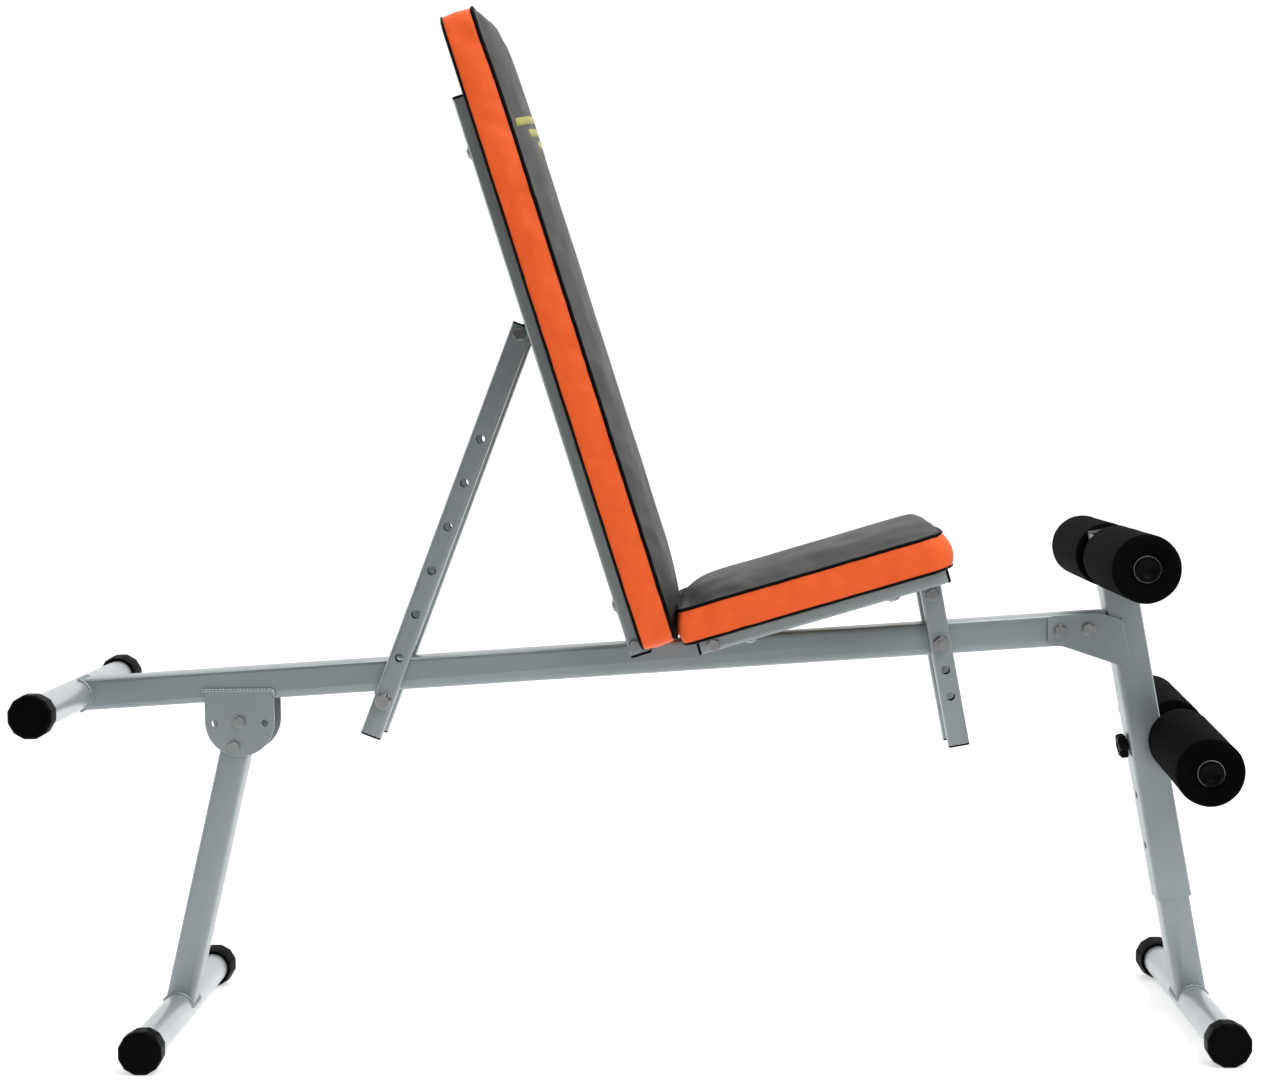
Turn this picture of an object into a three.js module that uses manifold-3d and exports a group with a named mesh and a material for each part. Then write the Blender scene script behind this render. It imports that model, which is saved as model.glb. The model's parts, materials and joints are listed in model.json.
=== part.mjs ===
// Decline sit up bench: a sloping main beam on a front post and a folding rear leg, with a
// hinged backrest, a hinged seat, two pairs of foam leg rollers and round cross feet.
//
// Millimetres, +Z up. The origin is on the floor under the middle of the object's box.
// +X points to the roller end, -Y is the right-hand side of a person who sits on the bench.

import * as THREE from 'three';
import { mergeVertices } from 'three/addons/utils/BufferGeometryUtils.js';
import Module from 'manifold-3d';

const wasm = await Module();
wasm.setup();

// ---------------------------------------------------------------- driving dimensions

const GAP = 0.3;                       // clearance between touching pieces

const BAR = { outer: 19, wall: 1.6, half: 194 };      // round cross bars
const CAP = { flat: 25, bore: 20.2, length: 30, half: 200, lip: 2.4, taper: 11, edge: 2.6, sides: 12 };
const REAR_BAR = { x: -670.5 };
const REAR_FOOT = { x: -557.4, z: CAP.flat };
const FRONT_FOOT = { x: 670.4, z: CAP.flat };

const BEAM = { size: 38, wall: 2, slope: 3.1, height: 447, rearX: -670.5, frontX: 568 };
const LEG = { size: 35, wall: 2, pivotX: -471, pivotZ: 377, above: 16, lockRadius: 30.8 };
const LEG_PLATE = { inner: 19.3, thick: 3, radius: 42, top: 37.4, chamfer: 3, sideHole: 30 };
const CATCH = { behind: 13, ahead: 12, lip: 4, width: 34 };     // hook for the backrest strut's pin

const POST = { lean: 9.8, size: 41, wall: 1.8, bottom: 128, top: 575 };
const POST_CAP = { lid: 2, corner: 4.5, plug: 5, play: 1 };
const INNER_POST = { size: 36, wall: 1.8, top: 178 };
const POST_PLATE = { inner: 20.8, thick: 3 };
const POST_BOLTS_X = [512.4, 545.8];

const AXLE = { outer: 15, wall: 1.5, half: 204 };
const FOAM = { outer: 38.5, bore: 15.4, from: 23, to: 203.3, edge: 2.5 };
const UPPER_ROLLER = { along: 544 };
const LOWER_ROLLER = { along: 317, ahead: 39.5, pitch: 62, holes: 3, hole: 5, tilt: 2.6, turn: 2.6 };
const SADDLE = { gap: 1.4, depth: 11, width: 38, height: 28 };
const KNOB = { radius: 13.2, lobe: 2.3, lobes: 6, thick: 11, bevel: 2, collar: 0.8, hub: 8, steps: 30 };

const RAIL = { size: 25, wall: 1.5, offset: 55.5 };   // padded frames' rails
const HINGE_TUBE = { outer: 10, half: 42.4 };
const BACK = { pivotX: 7.7, pivotZ: 468.1, lean: 16.8, below: 10, length: 669, backFace: -8 };
const SEAT = { pivotX: 100.3, pivotZ: 468.3, slope: 15.6, rear: 16, front: 284, lowFace: -7.5 };

const ARM = { width: 25, depth: 15, wall: 1.4, inner: 21, above: 10, hole: 5 };
const BACK_STRUT = { along: 390, behind: 19.4, lean: 21.53, firstHole: 132, pitch: 55.72, holes: 7 };
const SEAT_STRUT = { along: 263.9, below: 18.5, lean: -9.8, firstHole: 59.5, pitch: 31.95, holes: 3 };
const BACK_ARM_END = 510;
const SEAT_ARM_END = 182;
const CROSSBAR = { thick: 16, wide: 25, half: 42.7 };
const BRACKET = { sheet: 3, ear: 10, root: 14, half: 18 };

const BOARD = { thick: 12, margin: 12, corner: 8 };             // plywood in a recess under each pad
const PAD = { half: 139, bevel: 5, cornerLow: 16 };
const BACK_PAD = { from: 3, to: 751, low: 17.3, high: 53, corner: 42 };
const SEAT_PAD = { from: -31, to: 297, low: 17.8, high: 58, corner: 30, nose: 27, topRear: -18 };

const M10 = 5;                         // shank radii
const M8 = 4;
const BOLT = { washer: 2, hexagon: 1.85, head: 1.2, nut: 1.5 };   // times the shank's radius
const THREAD = 2.5;                    // thread beyond a nut
const WASHER = 1.6;                    // washer thickness
const FIT = 0.4;                       // radial clearance of a bolt in its hole

// ---------------------------------------------------------------- materials

const finish = (color, roughness, metalness) =>
  new THREE.MeshStandardMaterial({ color, roughness, metalness });

const silverPaint = finish(0x9aa3a6, 0.42, 0.55);
const brightTube = finish(0xb9bfc1, 0.35, 0.65);
const zinc = finish(0xc9cccd, 0.3, 0.9);
const blackRubber = finish(0x151515, 0.75, 0);
const blackFoam = finish(0x121212, 0.95, 0);
const blackPlastic = finish(0x0d0d0d, 0.5, 0);
const orangeVinyl = finish(0xf0622d, 0.45, 0);
const plywood = finish(0x9a7b52, 0.8, 0);

// ---------------------------------------------------------------- solids

const deg = THREE.MathUtils.degToRad;

/** Shared-vertex manifold solid of a closed geometry. */
function solidOf(geometry) {
  const plain = geometry.index ? geometry.toNonIndexed() : geometry.clone();
  plain.deleteAttribute('normal');
  plain.deleteAttribute('uv');
  const merged = mergeVertices(plain, 1e-4);
  return new wasm.Manifold(new wasm.Mesh({
    numProp: 3,
    vertProperties: new Float32Array(merged.attributes.position.array),
    triVerts: new Uint32Array(merged.index.array),
  }));
}

function geometryOf(solid) {
  const mesh = solid.getMesh();
  const geometry = new THREE.BufferGeometry();
  geometry.setAttribute('position', new THREE.BufferAttribute(mesh.vertProperties, 3));
  geometry.setIndex(new THREE.BufferAttribute(mesh.triVerts, 1));
  geometry.computeVertexNormals();
  return geometry;
}

function cut(geometry, cutters) {
  let solid = solidOf(geometry);
  for (const cutter of cutters) solid = solid.subtract(solidOf(cutter));
  return geometryOf(solid);
}

function join(geometries) {
  let solid = solidOf(geometries[0]);
  for (const other of geometries.slice(1)) solid = solid.add(solidOf(other));
  return geometryOf(solid);
}

/** Cylinder along Y at (x, z). */
function pinY(radius, x = 0, z = 0, length = 120, y = 0, segments = 12) {
  return new THREE.CylinderGeometry(radius, radius, length, segments).translate(x, y, z);
}

/** Cylinder along X at (y, z). */
function pinX(radius, x, z, length, y = 0, segments = 12) {
  const pin = new THREE.CylinderGeometry(radius, radius, length, segments);
  return pin.rotateZ(Math.PI / 2).translate(x, y, z);
}

function boxAt(sizeX, sizeY, sizeZ, x, y, z) {
  return new THREE.BoxGeometry(sizeX, sizeY, sizeZ).translate(x, y, z);
}

/** Closed outline with every corner rounded by its own radius: corners are [x, y, radius]. */
function roundedOutline(corners) {
  const shape = new THREE.Shape();
  const count = corners.length;
  corners.forEach(([x, y, radius], index) => {
    const here = new THREE.Vector2(x, y);
    const before = new THREE.Vector2(...corners[(index + count - 1) % count].slice(0, 2));
    const after = new THREE.Vector2(...corners[(index + 1) % count].slice(0, 2));
    const enter = before.sub(here).setLength(radius).add(here);
    const leave = after.sub(here).setLength(radius).add(here);
    if (index === 0) shape.moveTo(enter.x, enter.y);
    else shape.lineTo(enter.x, enter.y);
    if (radius > 0) shape.quadraticCurveTo(here.x, here.y, leave.x, leave.y);
  });
  shape.closePath();
  return shape;
}

function rectangleOutline(width, height, radius) {
  const x = width / 2;
  const y = height / 2;
  return roundedOutline([[-x, -y, radius], [x, -y, radius], [x, y, radius], [-x, y, radius]]);
}

/** Rectangular tube along +Z from z = 0, with rounded corners. */
function rectangleTube(width, height, wall, length) {
  const shape = rectangleOutline(width, height, 2.5 * wall);
  shape.holes.push(rectangleOutline(width - 2 * wall, height - 2 * wall, 1.5 * wall));
  return new THREE.ExtrudeGeometry(shape, { depth: length, bevelEnabled: false, curveSegments: 3 });
}

/** Round tube along Y, centred on y = 0. */
function roundTubeY(outer, inner, half, segments = 32) {
  const profile = [[inner, -half], [outer, -half], [outer, half], [inner, half], [inner, -half]];
  return new THREE.LatheGeometry(profile.map(([r, y]) => new THREE.Vector2(r, y)), segments);
}

/** Flat plate whose outline lies in XZ and whose thickness is centred on y. */
function plateXZ(shape, thick, y = 0, segments = 5) {
  const options = { depth: thick, bevelEnabled: false, curveSegments: segments };
  return new THREE.ExtrudeGeometry(shape, options).rotateX(Math.PI / 2).translate(0, y + thick / 2, 0);
}

/** Hexagon prism and washer on the axis, from y = from outwards in the direction side. */
function boltEnd(shank, from, side, height, washed = true) {
  const seat = washed ? WASHER - 0.1 : 0;
  const hexagon = pinY(BOLT.hexagon * shank, 0, 0, height, from + side * (seat + height / 2), 6);
  if (!washed) return [hexagon];
  return [pinY(BOLT.washer * shank, 0, 0, WASHER, from + side * WASHER / 2, 16), hexagon];
}

/** Through bolt along Y from -half to half: head at -Y, nut and thread end at +Y. */
function throughBolt(shank, half, washed = true) {
  const face = half + GAP;
  const ends = [...boltEnd(shank, -face, -1, BOLT.head * shank, washed),
    ...boltEnd(shank, face, 1, BOLT.nut * shank, washed)];
  const start = face + 2;
  const tip = face + WASHER + BOLT.nut * shank + THREAD;
  return join([pinY(shank, 0, 0, start + tip, (tip - start) / 2, 10), ...ends]);
}

/** One end of a bolt along Y: a shank from inner to face, then a washer and a head or nut. */
function stubBolt(shank, inner, face, side, isNut, washed = true) {
  const height = (isNut ? BOLT.nut : BOLT.head) * shank;
  const tip = face + (isNut ? height + WASHER + THREAD : 2);
  const body = pinY(shank, 0, 0, tip - inner, side * (tip + inner) / 2, 10);
  return join([body, ...boltEnd(shank, side * (face + GAP), side, height, washed)]);
}

// ---------------------------------------------------------------- scene helpers

const bench = new THREE.Group();

function addMesh(group, name, geometry, material, x = 0, y = 0, z = 0) {
  const mesh = new THREE.Mesh(geometry, material);
  mesh.name = name;
  mesh.position.set(x, y, z);
  group.add(mesh);
  return mesh;
}

/** Group in the XZ plane whose +Z leans towards +X by lean degrees. */
function leaningGroup(parent, x, z, lean) {
  const group = new THREE.Group();
  group.position.set(x, 0, z);
  group.rotation.y = deg(lean);
  parent.add(group);
  return group;
}

const SIDES = [['right', -1], ['left', 1]];

// ---------------------------------------------------------------- cross bars

function capGeometry(side) {
  const { flat, bore, length, lip, taper, edge, sides } = CAP;
  const outer = flat / Math.cos(Math.PI / sides);
  const floor = length - (CAP.half - BAR.half) + 2 * GAP;
  const profile = [[0, floor], [bore, floor], [bore, 0], [outer - lip, 0], [outer, taper],
    [outer, length - edge], [outer - edge, length], [0, length]];
  const points = profile.map(([r, y]) => new THREE.Vector2(r, y));
  const cap = new THREE.LatheGeometry(points, sides, Math.PI / sides);
  if (side < 0) cap.rotateX(Math.PI);
  return cap;
}

function addCrossBar(group, name, x, z) {
  addMesh(group, name, roundTubeY(BAR.outer, BAR.outer - BAR.wall, BAR.half), brightTube, x, 0, z);
  for (const [label, side] of SIDES) {
    const start = side * (CAP.half - CAP.length);
    addMesh(group, `${name}_cap_${label}`, capGeometry(side), blackRubber, x, start, z);
  }
}

/** Cylinder that copes a tube's end to fit round a cross bar. */
const cope = (z) => pinY(BAR.outer + GAP, 0, z, 80, 0, 32);

// ---------------------------------------------------------------- main beam

const beamRise = Math.tan(deg(BEAM.slope));
const beamCentreZ = (x) => BEAM.height + beamRise * x;
const rearBarZ = beamCentreZ(REAR_BAR.x);

/** Beam frame: x runs along the beam from its middle, z is square to it. */
function inBeamFrame(x, z) {
  const point = new THREE.Vector3(x, 0, z - BEAM.height);
  return point.applyAxisAngle(new THREE.Vector3(0, 1, 0), deg(BEAM.slope));
}

function addMainBeam() {
  const frame = leaningGroup(bench, 0, BEAM.height, -BEAM.slope);
  const rear = inBeamFrame(BEAM.rearX, rearBarZ).x;
  const front = inBeamFrame(BEAM.frontX, beamCentreZ(BEAM.frontX)).x;
  const tube = rectangleTube(BEAM.size, BEAM.size, BEAM.wall, front - rear);
  tube.rotateY(Math.PI / 2).translate(rear, 0, 0);

  const cutters = [pinY(BAR.outer + GAP, rear, 0, 80, 0, 32)];
  for (const x of POST_BOLTS_X) {
    cutters.push(pinY(M8 + FIT, inBeamFrame(x, beamCentreZ(x)).x, 0));
  }
  for (const { pivotX, pivotZ } of [BACK, SEAT]) {
    const pivot = inBeamFrame(pivotX, pivotZ);
    cutters.push(pinY(HINGE_TUBE.outer + 2 * GAP, pivot.x, pivot.z, 80, 0, 16));
  }
  const lock = inBeamFrame(seatLock.x, seatLock.z);
  cutters.push(pinY(M8 + FIT, lock.x, lock.z));
  addMesh(frame, 'main_beam', cut(tube, cutters), silverPaint);

  // Hook under the beam that the backrest strut's pin rests in, open to the front and below.
  const pin = inBeamFrame(backStrutPin.x, backStrutPin.z);
  const nest = M10 + 0.6;
  const top = -BEAM.size / 2 - GAP;
  const hook = new THREE.Shape();
  hook.moveTo(pin.x - CATCH.behind, top);
  hook.lineTo(pin.x - CATCH.behind, pin.z - CATCH.lip);
  hook.lineTo(pin.x - nest, pin.z - CATCH.lip);
  hook.lineTo(pin.x - nest, pin.z);
  hook.absarc(pin.x, pin.z, nest, Math.PI, Math.PI / 2, true);
  hook.lineTo(pin.x + CATCH.ahead, pin.z + nest);
  hook.lineTo(pin.x + CATCH.ahead, top);
  hook.closePath();
  addMesh(frame, 'strut_catch', plateXZ(hook, CATCH.width), silverPaint);
}

function addHingeTube(name, { pivotX, pivotZ }) {
  const tube = roundTubeY(HINGE_TUBE.outer, M8 + FIT, HINGE_TUBE.half, 16);
  addMesh(bench, name, tube, silverPaint, pivotX, 0, pivotZ);
}

// ---------------------------------------------------------------- rear leg

const legLean = THREE.MathUtils.radToDeg(
  Math.atan2(LEG.pivotX - REAR_FOOT.x, LEG.pivotZ - REAR_FOOT.z));

function addLegMount() {
  const { inner, thick, radius, top, chamfer, sideHole } = LEG_PLATE;
  const outline = new THREE.Shape();
  outline.moveTo(-radius + chamfer, top);
  outline.lineTo(-radius, top - chamfer);
  outline.absarc(0, 0, radius, Math.PI, 2 * Math.PI, false);
  outline.lineTo(radius, top - chamfer);
  outline.lineTo(radius - chamfer, top);
  outline.closePath();

  const lockX = -LEG.lockRadius * Math.sin(deg(legLean));
  const lockZ = -LEG.lockRadius * Math.cos(deg(legLean));
  const sideZ = -sideHole * Math.sin(deg(BEAM.slope));
  const holes = [[0, 0], [lockX, lockZ], [-sideHole, sideZ], [sideHole, sideZ]];
  const cutters = holes.map(([x, z]) => pinY(M8 + FIT, x, z));
  for (const [label, side] of SIDES) {
    const plate = cut(plateXZ(outline, thick, side * (inner + thick / 2), 18), cutters);
    addMesh(bench, `leg_plate_${label}`, plate, silverPaint, LEG.pivotX, 0, LEG.pivotZ);
    const stub = stubBolt(M8, LEG.size / 2 + 0.6, inner + thick, side, side > 0, false);
    addMesh(bench, `leg_lock_bolt_${label}`, stub, zinc, LEG.pivotX + lockX, 0, LEG.pivotZ + lockZ);
  }
  const bolt = throughBolt(M8, inner + thick, false);
  addMesh(bench, 'leg_pivot_bolt', bolt, zinc, LEG.pivotX, 0, LEG.pivotZ);
}

function addRearLeg() {
  const reach = Math.hypot(LEG.pivotX - REAR_FOOT.x, LEG.pivotZ - REAR_FOOT.z);
  const frame = leaningGroup(bench, REAR_FOOT.x, REAR_FOOT.z, legLean);
  const tube = rectangleTube(LEG.size, LEG.size, LEG.wall, reach + LEG.above);
  const holes = [cope(0), pinY(M8 + FIT, 0, reach), pinY(M8 + FIT, 0, reach - LEG.lockRadius)];
  addMesh(frame, 'rear_leg_tube', cut(tube, holes), silverPaint);
  addCrossBar(bench, 'rear_foot_bar', REAR_FOOT.x, REAR_FOOT.z);
}

// ---------------------------------------------------------------- front post

function postPlateOutline() {
  return roundedOutline([[497.5, 457.5, 7], [515, 456.5, 4], [586, 431.5, 5], [593, 440, 5],
    [584, 488, 5], [560, 495.5, 8], [537, 494.5, 8], [497.5, 492.3, 7]]);
}

function addPost() {
  const frame = leaningGroup(bench, FRONT_FOOT.x, FRONT_FOOT.z, -POST.lean);

  const sleeve = rectangleTube(POST.size, POST.size, POST.wall, POST.top - POST.bottom);
  sleeve.translate(0, 0, POST.bottom);
  const cutters = [pinY(AXLE.outer + GAP, 0, UPPER_ROLLER.along, 80, 0, 32)];
  cutters.push(pinX(M8 + FIT, 0, UPPER_ROLLER.along, 80));
  for (let hole = 0; hole < LOWER_ROLLER.holes; hole += 1) {
    cutters.push(pinX(LOWER_ROLLER.hole, 0, LOWER_ROLLER.along - hole * LOWER_ROLLER.pitch, 80));
  }
  addMesh(frame, 'post_sleeve', cut(sleeve, cutters), silverPaint);

  const inner = rectangleTube(INNER_POST.size, INNER_POST.size, INNER_POST.wall, INNER_POST.top);
  addMesh(frame, 'post_inner_tube', cut(inner, [cope(0)]), silverPaint);

  const lid = new THREE.ExtrudeGeometry(rectangleOutline(POST.size, POST.size, POST_CAP.corner),
    { depth: POST_CAP.lid, bevelEnabled: false, curveSegments: 3 }).translate(0, 0, POST.top + GAP);
  const plugSize = POST.size - 2 * (POST.wall + POST_CAP.play);
  const plug = boxAt(plugSize, plugSize, POST_CAP.plug, 0, 0, POST.top + 2 * GAP - POST_CAP.plug / 2);
  addMesh(frame, 'post_top_cap', join([lid, plug]), blackPlastic);

  for (const [label, side] of SIDES) {
    const plate = plateXZ(postPlateOutline(), POST_PLATE.thick,
      side * (POST_PLATE.inner + POST_PLATE.thick / 2));
    const holes = POST_BOLTS_X.map((x) => pinY(M8 + FIT, x, beamCentreZ(x)));
    addMesh(bench, `post_plate_${label}`, cut(plate, holes), silverPaint);
  }
  POST_BOLTS_X.forEach((x, index) => {
    const bolt = throughBolt(M8, POST_PLATE.inner + POST_PLATE.thick);
    addMesh(bench, `post_bolt_${['rear', 'front'][index]}`, bolt, zinc, x, 0, beamCentreZ(x));
  });
  addCrossBar(bench, 'front_foot_bar', FRONT_FOOT.x, FRONT_FOOT.z);
  return frame;
}

// ---------------------------------------------------------------- leg rollers

function foamGeometry() {
  const { outer, bore, from, to, edge } = FOAM;
  const half = (to - from) / 2;
  const profile = [[bore, -half], [outer - edge, -half], [outer, -half + edge],
    [outer, half - edge], [outer - edge, half], [bore, half], [bore, -half]];
  return new THREE.LatheGeometry(profile.map(([r, y]) => new THREE.Vector2(r, y)), 28);
}

function addFoams(frame, prefix, x, z) {
  for (const [label, side] of SIDES) {
    const middle = side * (FOAM.from + FOAM.to) / 2;
    addMesh(frame, `${prefix}_foam_${label}`, foamGeometry(), blackFoam, x, middle, z);
  }
}

/** Hexagon of an M8 head or nut on the X axis, its flat face beyond x = face on the given side. */
function hexagonX(face, side, height) {
  return pinX(BOLT.hexagon * M8, face + side * (GAP + height / 2), 0, height, 0, 6);
}

/** M8 shank along the X axis from start to end. */
function shankX(start, end) {
  return pinX(M8, (start + end) / 2, 0, end - start, 0, 10);
}

/** Tube along Y with a cross hole for the bolt that holds it to the post. */
function axleTube() {
  return cut(roundTubeY(AXLE.outer, AXLE.outer - AXLE.wall, AXLE.half, 24), [pinX(M8 + FIT, 0, 0, 80)]);
}

function addUpperRoller(frame) {
  const z = UPPER_ROLLER.along;
  const half = POST.size / 2;
  const head = BOLT.head * M8;
  const nut = BOLT.nut * M8;
  addMesh(frame, 'upper_axle', axleTube(), brightTube, 0, 0, z);
  const bolt = join([shankX(-half - 2, half + nut + THREAD), hexagonX(-half, -1, head),
    hexagonX(half, 1, nut)]);
  addMesh(frame, 'upper_axle_bolt', bolt, zinc, 0, 0, z);
  addFoams(frame, 'upper', 0, z);
}

/** The lower roller hangs on one bolt, so it sits a little askew: tilt about the bolt, turn about z. */
function addLowerRoller(post) {
  const { along, ahead, tilt, turn } = LOWER_ROLLER;
  const face = POST.size / 2 - ahead;
  const frame = new THREE.Group();
  frame.position.set(ahead, 0, along);
  frame.rotation.set(deg(tilt), 0, deg(-turn));
  post.add(frame);
  addMesh(frame, 'lower_axle', axleTube(), brightTube);

  const block = boxAt(SADDLE.depth, SADDLE.width, SADDLE.height,
    face + SADDLE.gap + SADDLE.depth / 2, 0, 0);
  const saddle = cut(block, [pinY(AXLE.outer + GAP, 0, 0, 80, 0, 32), pinX(M8 + FIT, face, 0, 60)]);
  addMesh(frame, 'lower_axle_saddle', saddle, silverPaint);

  const bolt = join([shankX(face + SADDLE.gap, AXLE.outer + 2), hexagonX(AXLE.outer, 1, BOLT.head * M8)]);
  addMesh(frame, 'lower_axle_bolt', bolt, zinc);
  addMesh(post, 'height_knob', knobGeometry(), blackPlastic, -POST.size / 2 - 0.5, 0, along);
  addFoams(frame, 'lower', 0, 0);
}

/** Lobed hand knob along -X, its collar against x = 0. */
function knobGeometry() {
  const { bevel, collar, thick } = KNOB;
  const outline = new THREE.Shape();
  for (let step = 0; step < KNOB.steps; step += 1) {
    const angle = 2 * Math.PI * step / KNOB.steps;
    const radius = KNOB.radius + KNOB.lobe * Math.cos(KNOB.lobes * angle);
    const point = [radius * Math.cos(angle), radius * Math.sin(angle)];
    if (step === 0) outline.moveTo(...point);
    else outline.lineTo(...point);
  }
  outline.closePath();
  const options = { depth: thick - 2 * bevel, bevelEnabled: true, bevelThickness: bevel,
    bevelSize: bevel, bevelOffset: -bevel, bevelSegments: 1 };
  const grip = new THREE.ExtrudeGeometry(outline, options);
  grip.rotateY(-Math.PI / 2).translate(-collar - bevel, 0, 0);
  return join([grip, pinX(KNOB.hub, -thick / 4, 0, thick / 2)]);
}

// ---------------------------------------------------------------- struts

/** Point of a leaning frame, given in that frame, as world x and z. */
function fromFrame(x, z, lean, alongX, alongZ) {
  const point = new THREE.Vector3(alongX, 0, alongZ);
  point.applyAxisAngle(new THREE.Vector3(0, 1, 0), deg(lean));
  return { x: x + point.x, z: z + point.z };
}

const backStrutTop = fromFrame(BACK.pivotX, BACK.pivotZ, -BACK.lean, -BACK_STRUT.behind, BACK_STRUT.along);
const lastHole = BACK_STRUT.firstHole + (BACK_STRUT.holes - 1) * BACK_STRUT.pitch;
const backStrutPin = fromFrame(backStrutTop.x, backStrutTop.z, BACK_STRUT.lean, 0, -lastHole);
const seatStrutTop = fromFrame(SEAT.pivotX, SEAT.pivotZ, -SEAT.slope, SEAT_STRUT.along, -SEAT_STRUT.below);
const seatLock = fromFrame(seatStrutTop.x, seatStrutTop.z, SEAT_STRUT.lean, 0, -SEAT_STRUT.firstHole);

/** Pair of flat arms that hang from a pivot at the frame's origin, with a row of holes. */
function addArms(frame, prefix, { firstHole, pitch, holes }, end) {
  for (const [label, side] of SIDES) {
    const arm = rectangleTube(ARM.width, ARM.depth, ARM.wall, end + ARM.above);
    arm.translate(0, side * (ARM.inner + ARM.depth / 2), -end);
    const cutters = [pinY(M8 + FIT)];
    for (let hole = 0; hole < holes; hole += 1) {
      cutters.push(pinY(ARM.hole + FIT, 0, -firstHole - hole * pitch));
    }
    addMesh(frame, `${prefix}_arm_${label}`, cut(arm, cutters), silverPaint);
  }
  const bolt = throughBolt(M8, ARM.inner + ARM.depth);
  addMesh(frame, `${prefix}_top_bolt`, bolt, zinc);
}

/** U bracket with two ears that reach depth from x = 0 towards -X, bolt hole at the ears' end. */
function strutBracket(depth) {
  const { sheet, ear, root, half } = BRACKET;
  const outline = new THREE.Shape();
  outline.moveTo(0, -root);
  outline.lineTo(-depth, -ear);
  outline.absarc(-depth, 0, ear, -Math.PI / 2, Math.PI / 2, true);
  outline.lineTo(0, root);
  outline.closePath();
  const pieces = [boxAt(sheet, 2 * half, 2 * root, -sheet / 2, 0, 0)];
  for (const side of [-1, 1]) pieces.push(plateXZ(outline, sheet, side * (half - sheet / 2)));
  return cut(join(pieces), [pinY(M8 + FIT, -depth, 0)]);
}

// ---------------------------------------------------------------- padded frames

/** Two rails along +Z of a frame, from start to end, their rear face at x = face. */
function addRails(frame, prefix, start, end, face, alongX) {
  for (const [label, side] of SIDES) {
    const rail = rectangleTube(RAIL.size, RAIL.size, RAIL.wall, end - start);
    if (alongX) rail.rotateY(Math.PI / 2);
    const middle = face + RAIL.size / 2;
    const place = alongX ? [start, side * RAIL.offset, middle] : [middle, side * RAIL.offset, start];
    rail.translate(...place);
    addMesh(frame, `${prefix}_rail_${label}`, cut(rail, [pinY(M8 + FIT, 0, 0, 200)]), silverPaint);
  }
  const outer = RAIL.offset + RAIL.size / 2;
  addMesh(frame, `${prefix}_pivot_bolt`, throughBolt(M8, outer), zinc);
}

/** Upholstered block from z = low to high over a plan outline, with a recess for its board. */
function padGeometry(plan, recess, low, high) {
  const { bevel } = PAD;
  const options = { depth: high - low - 2 * bevel, bevelEnabled: true, bevelThickness: bevel,
    bevelSize: bevel, bevelOffset: -bevel, bevelSegments: 2, curveSegments: 5 };
  const block = new THREE.ExtrudeGeometry(plan, options).translate(0, 0, low + bevel);
  const depth = BOARD.thick + GAP;
  const pocket = new THREE.ExtrudeGeometry(recess,
    { depth: 2 * depth, bevelEnabled: false, curveSegments: 5 }).translate(0, 0, low - depth);
  return cut(block, [pocket]);
}

/** Rounded rectangle from x = from to x = to: the hinge end's corners take rootRadius, the others radius. */
function planOutline(from, to, half, radius, rootRadius) {
  return roundedOutline([[from, -half, rootRadius], [to, -half, radius], [to, half, radius],
    [from, half, rootRadius]]);
}

// Turns a plan upright: its x becomes +Z and its thickness becomes +X.
const standUp = new THREE.Matrix4().makeBasis(new THREE.Vector3(0, 0, 1),
  new THREE.Vector3(0, -1, 0), new THREE.Vector3(1, 0, 0));

function addBoardAndPad(frame, prefix, size, upright, trim = []) {
  const { from, to, low, high, corner } = size;
  const insetOutline = (inset) => planOutline(from + inset, to - inset, PAD.half - inset,
    corner - BOARD.corner, BOARD.corner);
  const plan = planOutline(from, to, PAD.half, corner, PAD.cornerLow);
  const pad = cut(padGeometry(plan, insetOutline(BOARD.margin), low, high), trim);
  const board = new THREE.ExtrudeGeometry(insetOutline(BOARD.margin + GAP),
    { depth: BOARD.thick, bevelEnabled: false, curveSegments: 5 }).translate(0, 0, low);
  if (upright) {
    pad.applyMatrix4(standUp);
    board.applyMatrix4(standUp);
  }
  addMesh(frame, `${prefix}_board`, board, plywood);
  addMesh(frame, `${prefix}_pad`, pad, orangeVinyl);
}

// ---------------------------------------------------------------- backrest

function addBackrest() {
  const frame = leaningGroup(bench, BACK.pivotX, BACK.pivotZ, -BACK.lean);
  addRails(frame, 'backrest', -BACK.below, BACK.length, BACK.backFace, false);

  const frontFace = BACK.backFace + RAIL.size;
  const bar = rectangleTube(CROSSBAR.thick, CROSSBAR.wide, RAIL.wall, 2 * CROSSBAR.half);
  bar.rotateX(-Math.PI / 2).translate(frontFace - CROSSBAR.thick / 2, -CROSSBAR.half, BACK_STRUT.along);
  addMesh(frame, 'backrest_crossbar', bar, silverPaint);

  const bracketX = frontFace - CROSSBAR.thick - GAP;
  const bracket = strutBracket(bracketX + BACK_STRUT.behind);
  addMesh(frame, 'backrest_strut_bracket', bracket, silverPaint, bracketX, 0, BACK_STRUT.along);

  addBoardAndPad(frame, 'backrest', BACK_PAD, true);

  const strut = leaningGroup(bench, backStrutTop.x, backStrutTop.z, BACK_STRUT.lean);
  addArms(strut, 'backrest_strut', BACK_STRUT, BACK_ARM_END);
  const pin = throughBolt(M10, ARM.inner + ARM.depth);
  addMesh(strut, 'backrest_strut_pin', pin, zinc, 0, 0, -lastHole);
}

// ---------------------------------------------------------------- seat

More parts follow.
